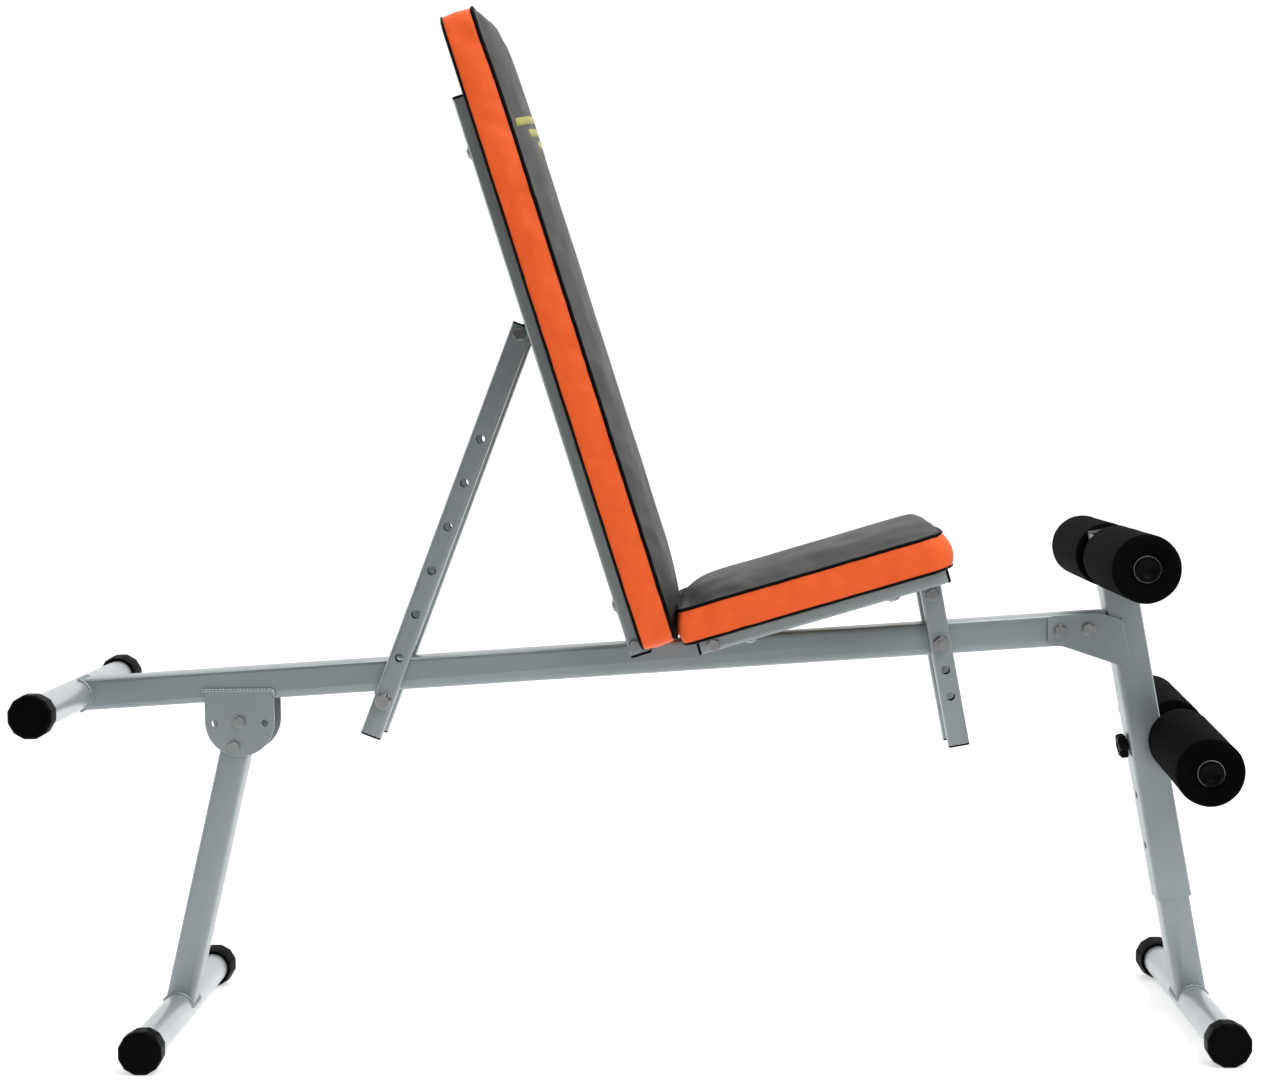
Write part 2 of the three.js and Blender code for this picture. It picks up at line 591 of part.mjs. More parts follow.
function addSeat() {
  const frame = leaningGroup(bench, SEAT.pivotX, SEAT.pivotZ, -SEAT.slope);
  addRails(frame, 'seat', -SEAT.rear, SEAT.front, SEAT.lowFace, true);

  const topFace = SEAT.lowFace + RAIL.size;
  const bar = rectangleTube(CROSSBAR.wide, CROSSBAR.thick, RAIL.wall, 2 * CROSSBAR.half);
  bar.rotateX(-Math.PI / 2).translate(SEAT_STRUT.along, -CROSSBAR.half, topFace - CROSSBAR.thick / 2);
  addMesh(frame, 'seat_crossbar', bar, silverPaint);

  const bracketZ = topFace - CROSSBAR.thick - GAP;
  const bracket = strutBracket(bracketZ + SEAT_STRUT.below).rotateY(-Math.PI / 2);
  addMesh(frame, 'seat_strut_bracket', bracket, silverPaint, SEAT_STRUT.along, 0, bracketZ);

  // The rear face leans forwards above the nose, so that the seat can tilt up by the backrest.
  const { from, nose, topRear, high } = SEAT_PAD;
  const wedge = new THREE.Shape();
  wedge.moveTo(from - 1, nose);
  wedge.lineTo(topRear, high + 1);
  wedge.lineTo(from - 20, high + 1);
  wedge.lineTo(from - 20, nose);
  wedge.closePath();
  addBoardAndPad(frame, 'seat', SEAT_PAD, false, [plateXZ(wedge, 2 * PAD.half + 20)]);

  const strut = leaningGroup(bench, seatStrutTop.x, seatStrutTop.z, SEAT_STRUT.lean);
  addArms(strut, 'seat_strut', SEAT_STRUT, SEAT_ARM_END);
  for (const [label, side] of SIDES) {
    const stub = stubBolt(M10, BEAM.size / 2 + 1, ARM.inner + ARM.depth, side, side < 0);
    addMesh(strut, `seat_strut_bolt_${label}`, stub, zinc, 0, 0, -SEAT_STRUT.firstHole);
  }
}

// ---------------------------------------------------------------- assembly

addMainBeam();
addHingeTube('backrest_hinge_tube', BACK);
addHingeTube('seat_hinge_tube', SEAT);
addCrossBar(bench, 'rear_bar', REAR_BAR.x, rearBarZ);
addLegMount();
addRearLeg();
const postFrame = addPost();
addUpperRoller(postFrame);
addLowerRoller(postFrame);
addBackrest();
addSeat();

export default bench;
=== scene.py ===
"""Looks of the decline sit up bench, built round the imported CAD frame.

Lengths in this script are millimetres until a piece is made; make_mesh turns them into metres.
The frame's own leaning axes are used for each assembly, so a cushion is described flat and
placed by its assembly's matrix.
"""

import json
import math
import random

import bmesh
import bpy
from mathutils import Matrix, Vector, noise
from mathutils.bvhtree import BVHTree


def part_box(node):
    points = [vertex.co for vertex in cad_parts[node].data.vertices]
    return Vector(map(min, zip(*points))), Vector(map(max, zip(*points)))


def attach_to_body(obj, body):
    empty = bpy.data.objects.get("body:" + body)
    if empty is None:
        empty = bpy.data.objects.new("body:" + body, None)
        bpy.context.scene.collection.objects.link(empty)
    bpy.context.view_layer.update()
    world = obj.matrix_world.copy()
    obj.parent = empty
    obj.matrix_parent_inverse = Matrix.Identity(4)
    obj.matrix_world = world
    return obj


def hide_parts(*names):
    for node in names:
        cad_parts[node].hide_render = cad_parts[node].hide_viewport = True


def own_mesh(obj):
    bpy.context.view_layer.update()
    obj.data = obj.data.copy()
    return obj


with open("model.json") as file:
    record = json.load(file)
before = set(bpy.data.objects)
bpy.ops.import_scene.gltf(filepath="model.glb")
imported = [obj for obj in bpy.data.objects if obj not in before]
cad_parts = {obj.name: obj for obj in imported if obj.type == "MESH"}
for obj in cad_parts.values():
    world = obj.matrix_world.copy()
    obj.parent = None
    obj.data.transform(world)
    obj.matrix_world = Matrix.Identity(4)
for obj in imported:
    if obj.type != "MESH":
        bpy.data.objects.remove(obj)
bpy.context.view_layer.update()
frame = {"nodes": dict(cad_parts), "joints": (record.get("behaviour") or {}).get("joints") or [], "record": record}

MM = 0.001
SIDES = (("right", -1), ("left", 1))

# -------- driving dimensions

BEAM_HALF = 19
BAR_RADIUS = 19
POST_LEAN = 9.8
LEG_HALF = 17.5
INNER_POST_HALF = 18
BACK_LEAN = 16.8
SEAT_SLOPE = 15.6
BEAM_SLOPE = 3.1
BACK_STRUT_LEAN = 21.53
SEAT_STRUT_LEAN = -9.8
RAIL = 25
RAIL_OFFSET = 55.5
BACK_RAIL = {"start": -10, "end": 669, "face": -8}
SEAT_RAIL = {"start": -16, "end": 284, "face": -7.5}
BACK_SCREWS = (51, 606)
SEAT_SCREWS = (44, 218)
ARM = {"width": 25, "depth": 15, "middle": 28.5, "above": 10}
BACK_ARM_END = 510
SEAT_ARM_END = 182
AXLE_BORE = 13.5
AXLE_HALF = 204
FOAM = {"radius": 38.5, "bore": 15.45, "from": 22.6, "to": 203.4, "round": 5}
KNOB = {"radius": 13.2, "lobe": 2.4, "lobes": 6, "lean_in": 0.55}
RAIL_CLEAR = (34, 76)    # staples keep out of the rails' strip
EMBLEM = {"along": 619, "half": 118, "rise": 13, "bar": 9, "nested": 3, "lift": 0.35}
PLATE_FRONT = ((584, 488), (593, 440))    # the post plates' front edge, where the bead runs
BOARD = 12
BOARD_HALF = 126.7


JOINTS = {joint["name"]: joint for joint in frame["joints"]}


def joint_place(name):
    """Rest position of a joint in millimetres."""
    return Vector(JOINTS[name]["pos_m"]) / MM


def leaning(origin, lean):
    """Matrix of a frame whose +Z leans from vertical towards +X by lean degrees."""
    return Matrix.Translation(origin) @ Matrix.Rotation(math.radians(lean), 4, "Y")


def middle_of(node):
    low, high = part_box(node)
    return (low + high) / (2 * MM)


FRONT_FOOT = middle_of("front_foot_bar")
REAR_FOOT = middle_of("rear_foot_bar")
REAR_BAR = middle_of("rear_bar")
LEG_PIVOT = joint_place("rear_leg_fold")
LEG_LEAN = math.degrees(math.atan2(LEG_PIVOT.x - REAR_FOOT.x, LEG_PIVOT.z - REAR_FOOT.z))

POST = leaning(FRONT_FOOT, -POST_LEAN)
LEG = leaning(REAR_FOOT, LEG_LEAN)
BEAM = leaning(REAR_BAR, -BEAM_SLOPE)
BACK = leaning(joint_place("backrest_tilt"), -BACK_LEAN)
SEAT = leaning(joint_place("seat_tilt"), -SEAT_SLOPE)
BACK_STRUT = leaning(joint_place("backrest_strut_swing"), BACK_STRUT_LEAN)
SEAT_STRUT = leaning(joint_place("seat_strut_swing"), SEAT_STRUT_LEAN)
UPPER_AXLE = leaning(joint_place("upper_foam_right_spin"), -POST_LEAN)
LOWER_TURN = Vector((0, 1, 0)).rotation_difference(Vector(JOINTS["lower_foam_right_spin"]["axis"]))
LOWER_AXLE = Matrix.Translation(joint_place("lower_foam_right_spin")) @ LOWER_TURN.to_matrix().to_4x4()

# A cushion is made lying flat: x along it, y across it, z up from the rails.
BACK_CUSHION = BACK @ Matrix(((0, 0, 1, 0), (0, -1, 0, 0), (1, 0, 0, 0), (0, 0, 0, 1)))
SEAT_CUSHION = SEAT

# -------- materials


class Nodes:
    """Short way to add shader nodes to a material, or to a world, and link them."""

    def __init__(self, name, world=None):
        self.material = world or bpy.data.materials.new(name)
        self.material.use_nodes = True
        self.tree = self.material.node_tree
        self.shader = self.tree.nodes["Background" if world else "Principled BSDF"]
        coordinates = self.tree.nodes.new("ShaderNodeTexCoord")
        self.place = coordinates.outputs["Generated" if world else "Object"]

    def add(self, kind, **inputs):
        node = self.tree.nodes.new(kind)
        for key, value in inputs.items():
            self.put(node.inputs[key.replace("_", " ")], value)
        return node

    def put(self, socket, value):
        if isinstance(value, bpy.types.NodeSocket):
            self.tree.links.new(value, socket)
        else:
            socket.default_value = value

    def noise(self, scale, detail=3.0, rough=0.5, stretch=None):
        place = self.place
        if stretch:
            mapping = self.add("ShaderNodeMapping", Vector=place, Scale=stretch)
            place = mapping.outputs["Vector"]
        node = self.add("ShaderNodeTexNoise", Vector=place, Scale=scale, Detail=detail, Roughness=rough)
        return node.outputs["Fac"]

    def cells(self, scale):
        node = self.add("ShaderNodeTexVoronoi", Vector=self.place, Scale=scale)
        node.feature = "DISTANCE_TO_EDGE"
        return node.outputs["Distance"]

    def ramp(self, value, low, high, from_low=0.3, from_high=0.7, curve="LINEAR"):
        node = self.add("ShaderNodeMapRange", Value=value, From_Min=from_low, From_Max=from_high,
                        To_Min=low, To_Max=high)
        node.interpolation_type = curve
        return node.outputs["Result"]

    def blend(self, factor, first, second):
        node = self.tree.nodes.new("ShaderNodeMix")
        node.data_type = "RGBA"
        self.put(node.inputs["Factor"], factor)
        self.put(node.inputs["A"], first)
        self.put(node.inputs["B"], second)
        return node.outputs["Result"]

    def combine(self, operation, first, second):
        node = self.tree.nodes.new("ShaderNodeMath")
        node.operation = operation
        self.put(node.inputs[0], first)
        self.put(node.inputs[1], second)
        return node.outputs["Value"]

    def bump(self, height, strength, distance):
        node = self.add("ShaderNodeBump", Height=height, Strength=strength, Distance=distance)
        self.put(self.shader.inputs["Normal"], node.outputs["Normal"])

    def set(self, **inputs):
        for key, value in inputs.items():
            self.put(self.shader.inputs[key.replace("_", " ")], value)


def rgb(red, green, blue):
    return (red, green, blue, 1.0)


def paint(name, light, dark, roughness, metal):
    """Powder coat with a little metal flake, orange peel and faint handling marks."""
    nodes = Nodes(name)
    patches = nodes.ramp(nodes.noise(7, 4), 0, 1)
    flake = nodes.ramp(nodes.noise(2600, 1), 0, 0.35)
    mark = nodes.ramp(nodes.noise(38, 6, 0.65), 0, 1, 0.66, 0.78)
    colour = nodes.blend(patches, dark, light)
    colour = nodes.blend(flake, colour, rgb(*(min(1, 1.3 * part) for part in light[:3])))
    colour = nodes.blend(nodes.combine("MULTIPLY", mark, 0.25), colour, dark)
    gloss = nodes.ramp(nodes.noise(30, 5), roughness - 0.05, roughness + 0.08)
    nodes.set(Base_Color=colour, Roughness=gloss, Metallic=metal, Coat_Weight=0.25, Coat_Roughness=0.2)
    nodes.bump(nodes.noise(420, 2), 0.12, 0.0004)
    return nodes.material


def zinc():
    """Bright zinc plating, slightly yellowed and hazy in patches."""
    nodes = Nodes("zinc_plating")
    patches = nodes.ramp(nodes.noise(40, 3), 0, 1)
    nodes.set(Base_Color=nodes.blend(patches, rgb(0.32, 0.33, 0.34), rgb(0.43, 0.43, 0.42)))
    nodes.set(Roughness=nodes.ramp(nodes.noise(60, 3), 0.14, 0.24), Metallic=1.0)
    nodes.bump(nodes.noise(500, 2), 0.06, 0.0003)
    return nodes.material


def bare_steel_and_painted_shade():
    """Dark mill steel inside the tubes, where no powder reaches, made near black: partly painted shade of the
    holes.
    """
    nodes = Nodes("bare_steel_and_painted_shade")
    scale = nodes.ramp(nodes.noise(70, 4), 0, 1)
    # painted shade: this steel is made near black so the arms' holes look shaded inside
    nodes.set(Base_Color=nodes.blend(scale, rgb(0.012, 0.011, 0.01), rgb(0.03, 0.027, 0.024)))
    nodes.set(Roughness=0.7, Specular_IOR_Level=0.2)
    return nodes.material


def moulded(name, bloom, dark, light, gloss, specular, grain):
    """Moulded black rubber or plastic: a dusty, scuffed bloom and a fine spark-eroded grain."""
    nodes = Nodes(name)
    scale, threshold = bloom
    dust = nodes.ramp(nodes.noise(scale, 5, 0.6), 0, 1, threshold, 0.8)
    nodes.set(Base_Color=nodes.blend(dust, dark, light), Specular_IOR_Level=specular)
    scale, low, high = gloss
    nodes.set(Roughness=nodes.ramp(nodes.noise(scale, 3), low, high))
    scale, strength = grain
    nodes.bump(nodes.noise(scale, 2), strength, 0.0003)
    return nodes.material


def foam():
    """Closed-cell foam: tiny open cells in a matt skin, with painted shade in the cells' hollows and a few rubbed,
    paler patches.
    """
    nodes = Nodes("black_foam")
    rubbed = nodes.ramp(nodes.noise(16, 5, 0.6), 0, 1, 0.42, 0.75)
    cells = nodes.cells(620)
    pit_depth_and_shade = nodes.ramp(cells, 0, 1, 0.0, 0.12)
    skin = nodes.blend(rubbed, rgb(0.0016, 0.0017, 0.0018), rgb(0.0034, 0.0036, 0.0036))
    # painted shade: the cells' hollows are darker than the skin
    nodes.set(Base_Color=nodes.blend(pit_depth_and_shade, rgb(0.001, 0.001, 0.001), skin))
    nodes.set(Roughness=0.8, Specular_IOR_Level=0.03)
    grain = nodes.combine("ADD", pit_depth_and_shade, nodes.noise(900, 3))
    nodes.bump(grain, 0.5, 0.0006)
    return nodes.material


def vinyl(name, light, dark, roughness, specular):
    """Upholstery vinyl: embossed leather grain with painted shade in its valleys, soft creases in the gloss and
    colour.
    """
    nodes = Nodes(name)
    patches = nodes.ramp(nodes.noise(9, 4, 0.55), 0, 1)
    pores = nodes.cells(680)
    grain = nodes.ramp(pores, 0, 1, 0.0, 0.22)
    leather = nodes.blend(patches, dark, light)
    # painted shade: the grain's valleys are darkened to 62 % of the dark tone
    deep = rgb(*(0.62 * part for part in dark[:3]))
    leather = nodes.blend(nodes.ramp(grain, 0.35, 0, 0, 1), leather, deep)
    nodes.set(Base_Color=leather, Specular_IOR_Level=specular)
    nodes.set(Roughness=nodes.ramp(nodes.noise(26, 5), roughness - 0.06, roughness + 0.1))
    height = nodes.combine("ADD", grain, nodes.combine("MULTIPLY", nodes.noise(240, 4), 0.8))
    nodes.bump(height, 0.28, 0.0005)
    return nodes.material


def plywood():
    """Raw plywood: long grain streaks, pores and a few darker bands."""
    nodes = Nodes("plywood")
    grain = nodes.noise(60, 6, 0.6, (0.12, 1.0, 0.12))
    bands = nodes.ramp(nodes.noise(14, 3, 0.5, (0.2, 1.0, 0.2)), 0, 1)
    wood = nodes.blend(nodes.ramp(grain, 0, 1), rgb(0.33, 0.2, 0.1), rgb(0.56, 0.4, 0.24))
    nodes.set(Base_Color=nodes.blend(nodes.combine("MULTIPLY", bands, 0.5), wood, rgb(0.4, 0.26, 0.13)))
    nodes.set(Roughness=0.78)
    nodes.bump(grain, 0.3, 0.0006)
    return nodes.material


def print_ink(name, light, dark):
    """Screen-printed ink on vinyl, thin and slightly worn through."""
    nodes = Nodes(name)
    worn = nodes.ramp(nodes.noise(180, 5, 0.7), 0, 1, 0.35, 0.7)
    nodes.set(Base_Color=nodes.blend(worn, dark, light), Roughness=0.5)
    nodes.bump(nodes.cells(680), 0.2, 0.0004)
    return nodes.material


def floor_material():
    """Pale floor; it looks the same all round, but lights the bench less from the camera's side."""
    nodes = Nodes("pale_floor")
    shade = nodes.ramp(nodes.noise(2, 3), 0, 1)
    nodes.set(Base_Color=nodes.blend(shade, rgb(0.72, 0.72, 0.72), rgb(0.76, 0.76, 0.76)))
    nodes.set(Roughness=0.7, Specular_IOR_Level=0.1)
    split = nodes.add("ShaderNodeSeparateXYZ", Vector=nodes.place)
    near = nodes.ramp(split.outputs["Y"], 0.0, 0.5, -1.3, -0.3)
    glow = nodes.combine("ADD", near, nodes.ramp(split.outputs["Y"], 0.0, 0.2, 0.6, 2.4))
    seen = nodes.combine("MULTIPLY", nodes.add("ShaderNodeLightPath").outputs["Is Camera Ray"], 0.5)
    nodes.set(Emission_Color=rgb(1, 1, 1), Emission_Strength=nodes.combine("MAXIMUM", glow, seen))
    return nodes.material


MATERIALS = {
    "silver_paint": paint("silver_paint", rgb(0.285, 0.325, 0.338), rgb(0.255, 0.292, 0.304), 0.36, 0.6),
    "pale_tube": paint("pale_tube", rgb(0.46, 0.495, 0.51), rgb(0.40, 0.43, 0.445), 0.33, 0.5),
    "zinc_steel": zinc(),
    "black_rubber": moulded("black_rubber", (24, 0.45), rgb(0.0008, 0.0008, 0.0009),
                            rgb(0.0025, 0.0025, 0.0027), (60, 0.42, 0.58), 0.04, (1500, 0.25)),
    "black_foam": foam(),
    "black_plastic": moulded("black_plastic", (50, 0.5), rgb(0.0012, 0.0012, 0.0014),
                             rgb(0.0045, 0.0045, 0.0048), (80, 0.34, 0.48), 0.06, (1100, 0.18)),
    "orange_vinyl": vinyl("orange_vinyl", rgb(0.93, 0.132, 0.024), rgb(0.86, 0.112, 0.019), 0.44, 0.22),
    "grey_vinyl": vinyl("grey_vinyl", rgb(0.058, 0.06, 0.054), rgb(0.046, 0.048, 0.043), 0.5, 0.25),
    "black_piping": vinyl("black_piping", rgb(0.003, 0.0028, 0.0028), rgb(0.0018, 0.0017, 0.0017),
                          0.45, 0.05),
    "emblem_print": print_ink("emblem_print", rgb(0.42, 0.385, 0.05), rgb(0.23, 0.22, 0.05)),
    "plywood": plywood(),
    # the arms' insides: bare steel made near black, partly painted shade
    "bare_steel_and_painted_shade": bare_steel_and_painted_shade(),
}

# -------- mesh helpers


def link(name, data):
    """New object of the scene that holds a mesh, light or camera."""
    piece = bpy.data.objects.new(name, data)
    bpy.context.scene.collection.objects.link(piece)
    return piece


def make_mesh(name, points, faces, matrix, slots, face_slots=None):
    """Piece from points in millimetres, placed by matrix; face_slots picks a material per face."""
    mesh = bpy.data.meshes.new(name)
    mesh.from_pydata([(matrix @ Vector(point)) * MM for point in points], [], faces)
    mesh.validate()
    piece = link(name, mesh)
    for slot in slots:
        mesh.materials.append(MATERIALS[slot])
    if face_slots:
        mesh.polygons.foreach_set("material_index", face_slots)
    mesh.polygons.foreach_set("use_smooth", [True] * len(mesh.polygons))
    work = bmesh.new()
    work.from_mesh(mesh)
    bmesh.ops.recalc_face_normals(work, faces=work.faces)
    work.to_mesh(mesh)
    work.free()
    return piece


def attach(piece, body):
    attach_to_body(piece, body)
    return piece


def ring_faces(first, second, count):
    """Faces between two rings of count points that start at the indices first and second."""
    faces = []
    for step in range(count):
        other = (step + 1) % count
        faces.append((first + step, first + other, second + other, second + step))
    return faces


class Builder:
    """Collects several closed shells, in millimetres, into one piece."""

    def __init__(self):
        self.points = []
        self.faces = []

    def shell(self, points, faces, matrix=None):
        base = len(self.points)
        placed = [matrix @ Vector(point) for point in points] if matrix else points
        self.points.extend(Vector(point) for point in placed)
        self.faces.extend(tuple(base + index for index in face) for face in faces)

    def sweep(self, path, radius, closed=False, sides=10, wobble=0.0, pitch=4.0, seed=1):
        """Round bead or cord along path; wobble makes the ripples of a weld."""
        path = [Vector(point) for point in path]
        count = len(path)
        dice = random.Random(seed)
        points = []
        run = 0.0
        side = None
        for index, here in enumerate(path):
            before = path[index - 1] if index or closed else here
            after = path[(index + 1) % count] if index < count - 1 or closed else here
            forward = (after - before).normalized()
            if side is None:
                side = forward.orthogonal().normalized()
            side = (side - forward * side.dot(forward)).normalized()
            up = forward.cross(side)
            run += (here - before).length if index else 0.0
            ripple = math.cos(2 * math.pi * run / pitch) + dice.uniform(-0.5, 0.5)
            size = radius * (1 + wobble * ripple)
            for step in range(sides):
                angle = 2 * math.pi * step / sides
                points.append(here + side * (size * math.cos(angle)) + up * (size * math.sin(angle)))
        faces = []
        for ring in range(count if closed else count - 1):
            faces += ring_faces(ring * sides, (ring + 1) % count * sides, sides)
        if not closed:
            faces.append(tuple(range(sides))[::-1])
            faces.append(tuple((count - 1) * sides + step for step in range(sides)))
        self.shell(points, faces)

    def lathe(self, profile, matrix, sides=40, wave=None):
        """Closed turned body round the local Z axis; profile is (radius, height) from axis to axis."""
        points = [(0, 0, profile[0][1])]
        faces = []
        rings = profile[1:-1]
        for radius, height in rings:
            for step in range(sides):
                angle = 2 * math.pi * step / sides
                size = radius + (wave(angle, radius) if wave else 0)
                points.append((size * math.cos(angle), size * math.sin(angle), height))
        points.append((0, 0, profile[-1][1]))
        last = len(points) - 1
        top = 1 + (len(rings) - 1) * sides
        for start in range(1, top, sides):
            faces += ring_faces(start, start + sides, sides)
        for step in range(sides):
            other = (step + 1) % sides
            faces.append((0, 1 + other, 1 + step))
            faces.append((top + step, top + other, last))
        self.shell(points, faces, matrix)

    def make(self, name, body, slot):
        piece = make_mesh(name, self.points, self.faces, Matrix.Identity(4), [slot])
        return attach(piece, body)


def round_edges(piece, width, angle):
    """Rounds edges sharper than angle, in degrees, so that they catch the light."""
    bevel = piece.modifiers.new("round_edges", "BEVEL")
    bevel.width = width * MM
    bevel.segments = 2
    bevel.limit_method = "ANGLE"
    bevel.angle_limit = math.radians(angle)
    bevel.harden_normals = True
    bevel.use_clamp_overlap = True


def turn_to(direction, origin):
    """Matrix at origin whose +Z points along direction."""
    return Matrix.Translation(origin) @ Vector(direction).to_track_quat("Z", "Y").to_matrix().to_4x4()

# -------- CAD nodes


EDGE_WIDTH = {"silver_paint": 0.7, "pale_tube": 0.6, "zinc_steel": 0.45, "black_rubber": 1.1,
              "black_plastic": 0.6, "plywood": 0.8}
EDGE_ANGLE = {"black_rubber": 20}    # the caps' twelve flats stay crisp


def finish_cad_nodes():
    """Gives every carried-over node its slot's material, rounded edges and smooth shading."""
    for part in frame["record"]["subparts"]:
        node = frame["nodes"][part["node"]]
        slot = part["material_slot"]
        node.data.materials.clear()
        node.data.materials.append(MATERIALS[slot])
        node.data.polygons.foreach_set("material_index", [0] * len(node.data.polygons))
        node.data.polygons.foreach_set("use_smooth", [True] * len(node.data.polygons))
        custom = node.data.attributes.get("custom_normal")
        if custom:
            node.data.attributes.remove(custom)
        weld = node.modifiers.new("weld", "WELD")
        weld.merge_threshold = 0.00002
        flat = node.modifiers.new("flat_faces", "DECIMATE")
        flat.decimate_type = "DISSOLVE"
        flat.angle_limit = math.radians(0.6)
        if slot in EDGE_WIDTH:
            round_edges(node, EDGE_WIDTH[slot], EDGE_ANGLE.get(slot, 33))


def darken_inside(node, matrix):
    """Gives the inner walls of a strut arm, a tube along the matrix's Z axis, the near-black bare steel, partly
    painted shade.
    """
    back = matrix.inverted()
    # painted shade: the inner walls get a second, near-black material
    node.data.materials.append(MATERIALS["bare_steel_and_painted_shade"])
    for face in node.data.polygons:
        place = back @ (node.matrix_world @ face.center / MM)
        across = abs(place.x) < ARM["width"] / 2 - 1
        deep = abs(abs(place.y) - ARM["middle"]) < ARM["depth"] / 2 - 1
        if across and deep:
            face.material_index = 1


# -------- cushions

BACK_PAD = {"x": (-3, 754), "half": 137, "rear": 17.2, "lap": 8.5, "seam": 51, "crown": 13.5,
            "corners": (18, 24), "roll": (125, 17), "steps": (84, 32), "lap_end": True, "bend": 3}
SEAT_PAD = {"x": (-33.5, 299), "half": 137, "rear": 17.4, "lap": 4, "seam": 56, "crown": 13,
            "corners": (12, 30), "roll": (80, 19), "steps": (38, 32), "lap_end": False, "bend": 0}
BAND_STEPS = 6
CLOTH = {"frames": 20, "pressure": 4.0, "growth": 0.02, "cap": 7.0}
CLOTH_SETTINGS = {"quality": 6, "mass": 0.15, "bending_stiffness": 0.6, "shear_stiffness": 12,
                  "tension_stiffness": 30, "compression_stiffness": 30,
                  "tension_damping": 12, "compression_damping": 12}
ORANGE, GREY, BLACK = 0, 1, 2


def ease(value, low, high):
    """Smooth step from 0 at low to 1 at high."""
    share = min(1.0, max(0.0, (value - low) / (high - low)))
    return share * share * (3 - 2 * share)


def on_rounded_rectangle(x, y, limits, half, radii):
    """Moves a point of a rectangle's edge onto its rounded corner, if it is near one."""
    middle = (limits[0] + limits[1]) / 2
    side_x = -1 if x < middle else 1
    side_y = -1 if y < 0 else 1
    radius = radii[0] if side_x < 0 else radii[1]
    centre = Vector((limits[0] + radius if side_x < 0 else limits[1] - radius, side_y * (half - radius)))
    over_x = side_x * (x - centre.x)
    over_y = side_y * (y - centre.y)
    if over_x <= 0 or over_y <= 0:
        return x, y
    angle = math.pi / 4 * (1 + (over_y - over_x) / radius)
    return centre.x + side_x * radius * math.cos(angle), centre.y + side_y * radius * math.sin(angle)


def plan_ring(limits, half, radii, steps):
    """Closed ring of plan points, the same count for any size, from the corner (low x, low y)."""
    low, high = limits
    along, across = steps
    square = [(low + (high - low) * step / along, -half) for step in range(along)]
    square += [(high, half * (2 * step / across - 1)) for step in range(across)]
    square += [(high - (high - low) * step / along, half) for step in range(along)]
    square += [(low, half * (1 - 2 * step / across)) for step in range(across)]
    return [on_rounded_rectangle(x, y, limits, half, radii) for x, y in square]


def ring_index(step_x, step_y, steps):
    """Place of a grid's edge point in its ring, or None inside the grid."""
    along, across = steps
    if step_y == 0:
        return step_x
    if step_x == along:
        return along + step_y
    if step_y == across:
        return along + across + (along - step_x)
    if step_x == 0:
        return 2 * along + across + (across - step_y)
    return None


def spread(ring, steps):
    """Inner points of the grid that a ring encloses, blended from its four edges."""
    along, across = steps

    def edge(step_x, step_y):
        return Vector(ring[ring_index(step_x, step_y, steps) % len(ring)])

    inner = {}
    for step_x in range(1, along):
        for step_y in range(1, across):
            s = step_x / along
            t = step_y / across
            across_blend = edge(step_x, 0) * (1 - t) + edge(step_x, across) * t
            along_blend = edge(0, step_y) * (1 - s) + edge(along, step_y) * s
            corners = (edge(0, 0) * (1 - s) + edge(along, 0) * s) * (1 - t)
            corners += (edge(0, across) * (1 - s) + edge(along, across) * s) * t
            inner[step_x, step_y] = across_blend + along_blend - corners
    return inner


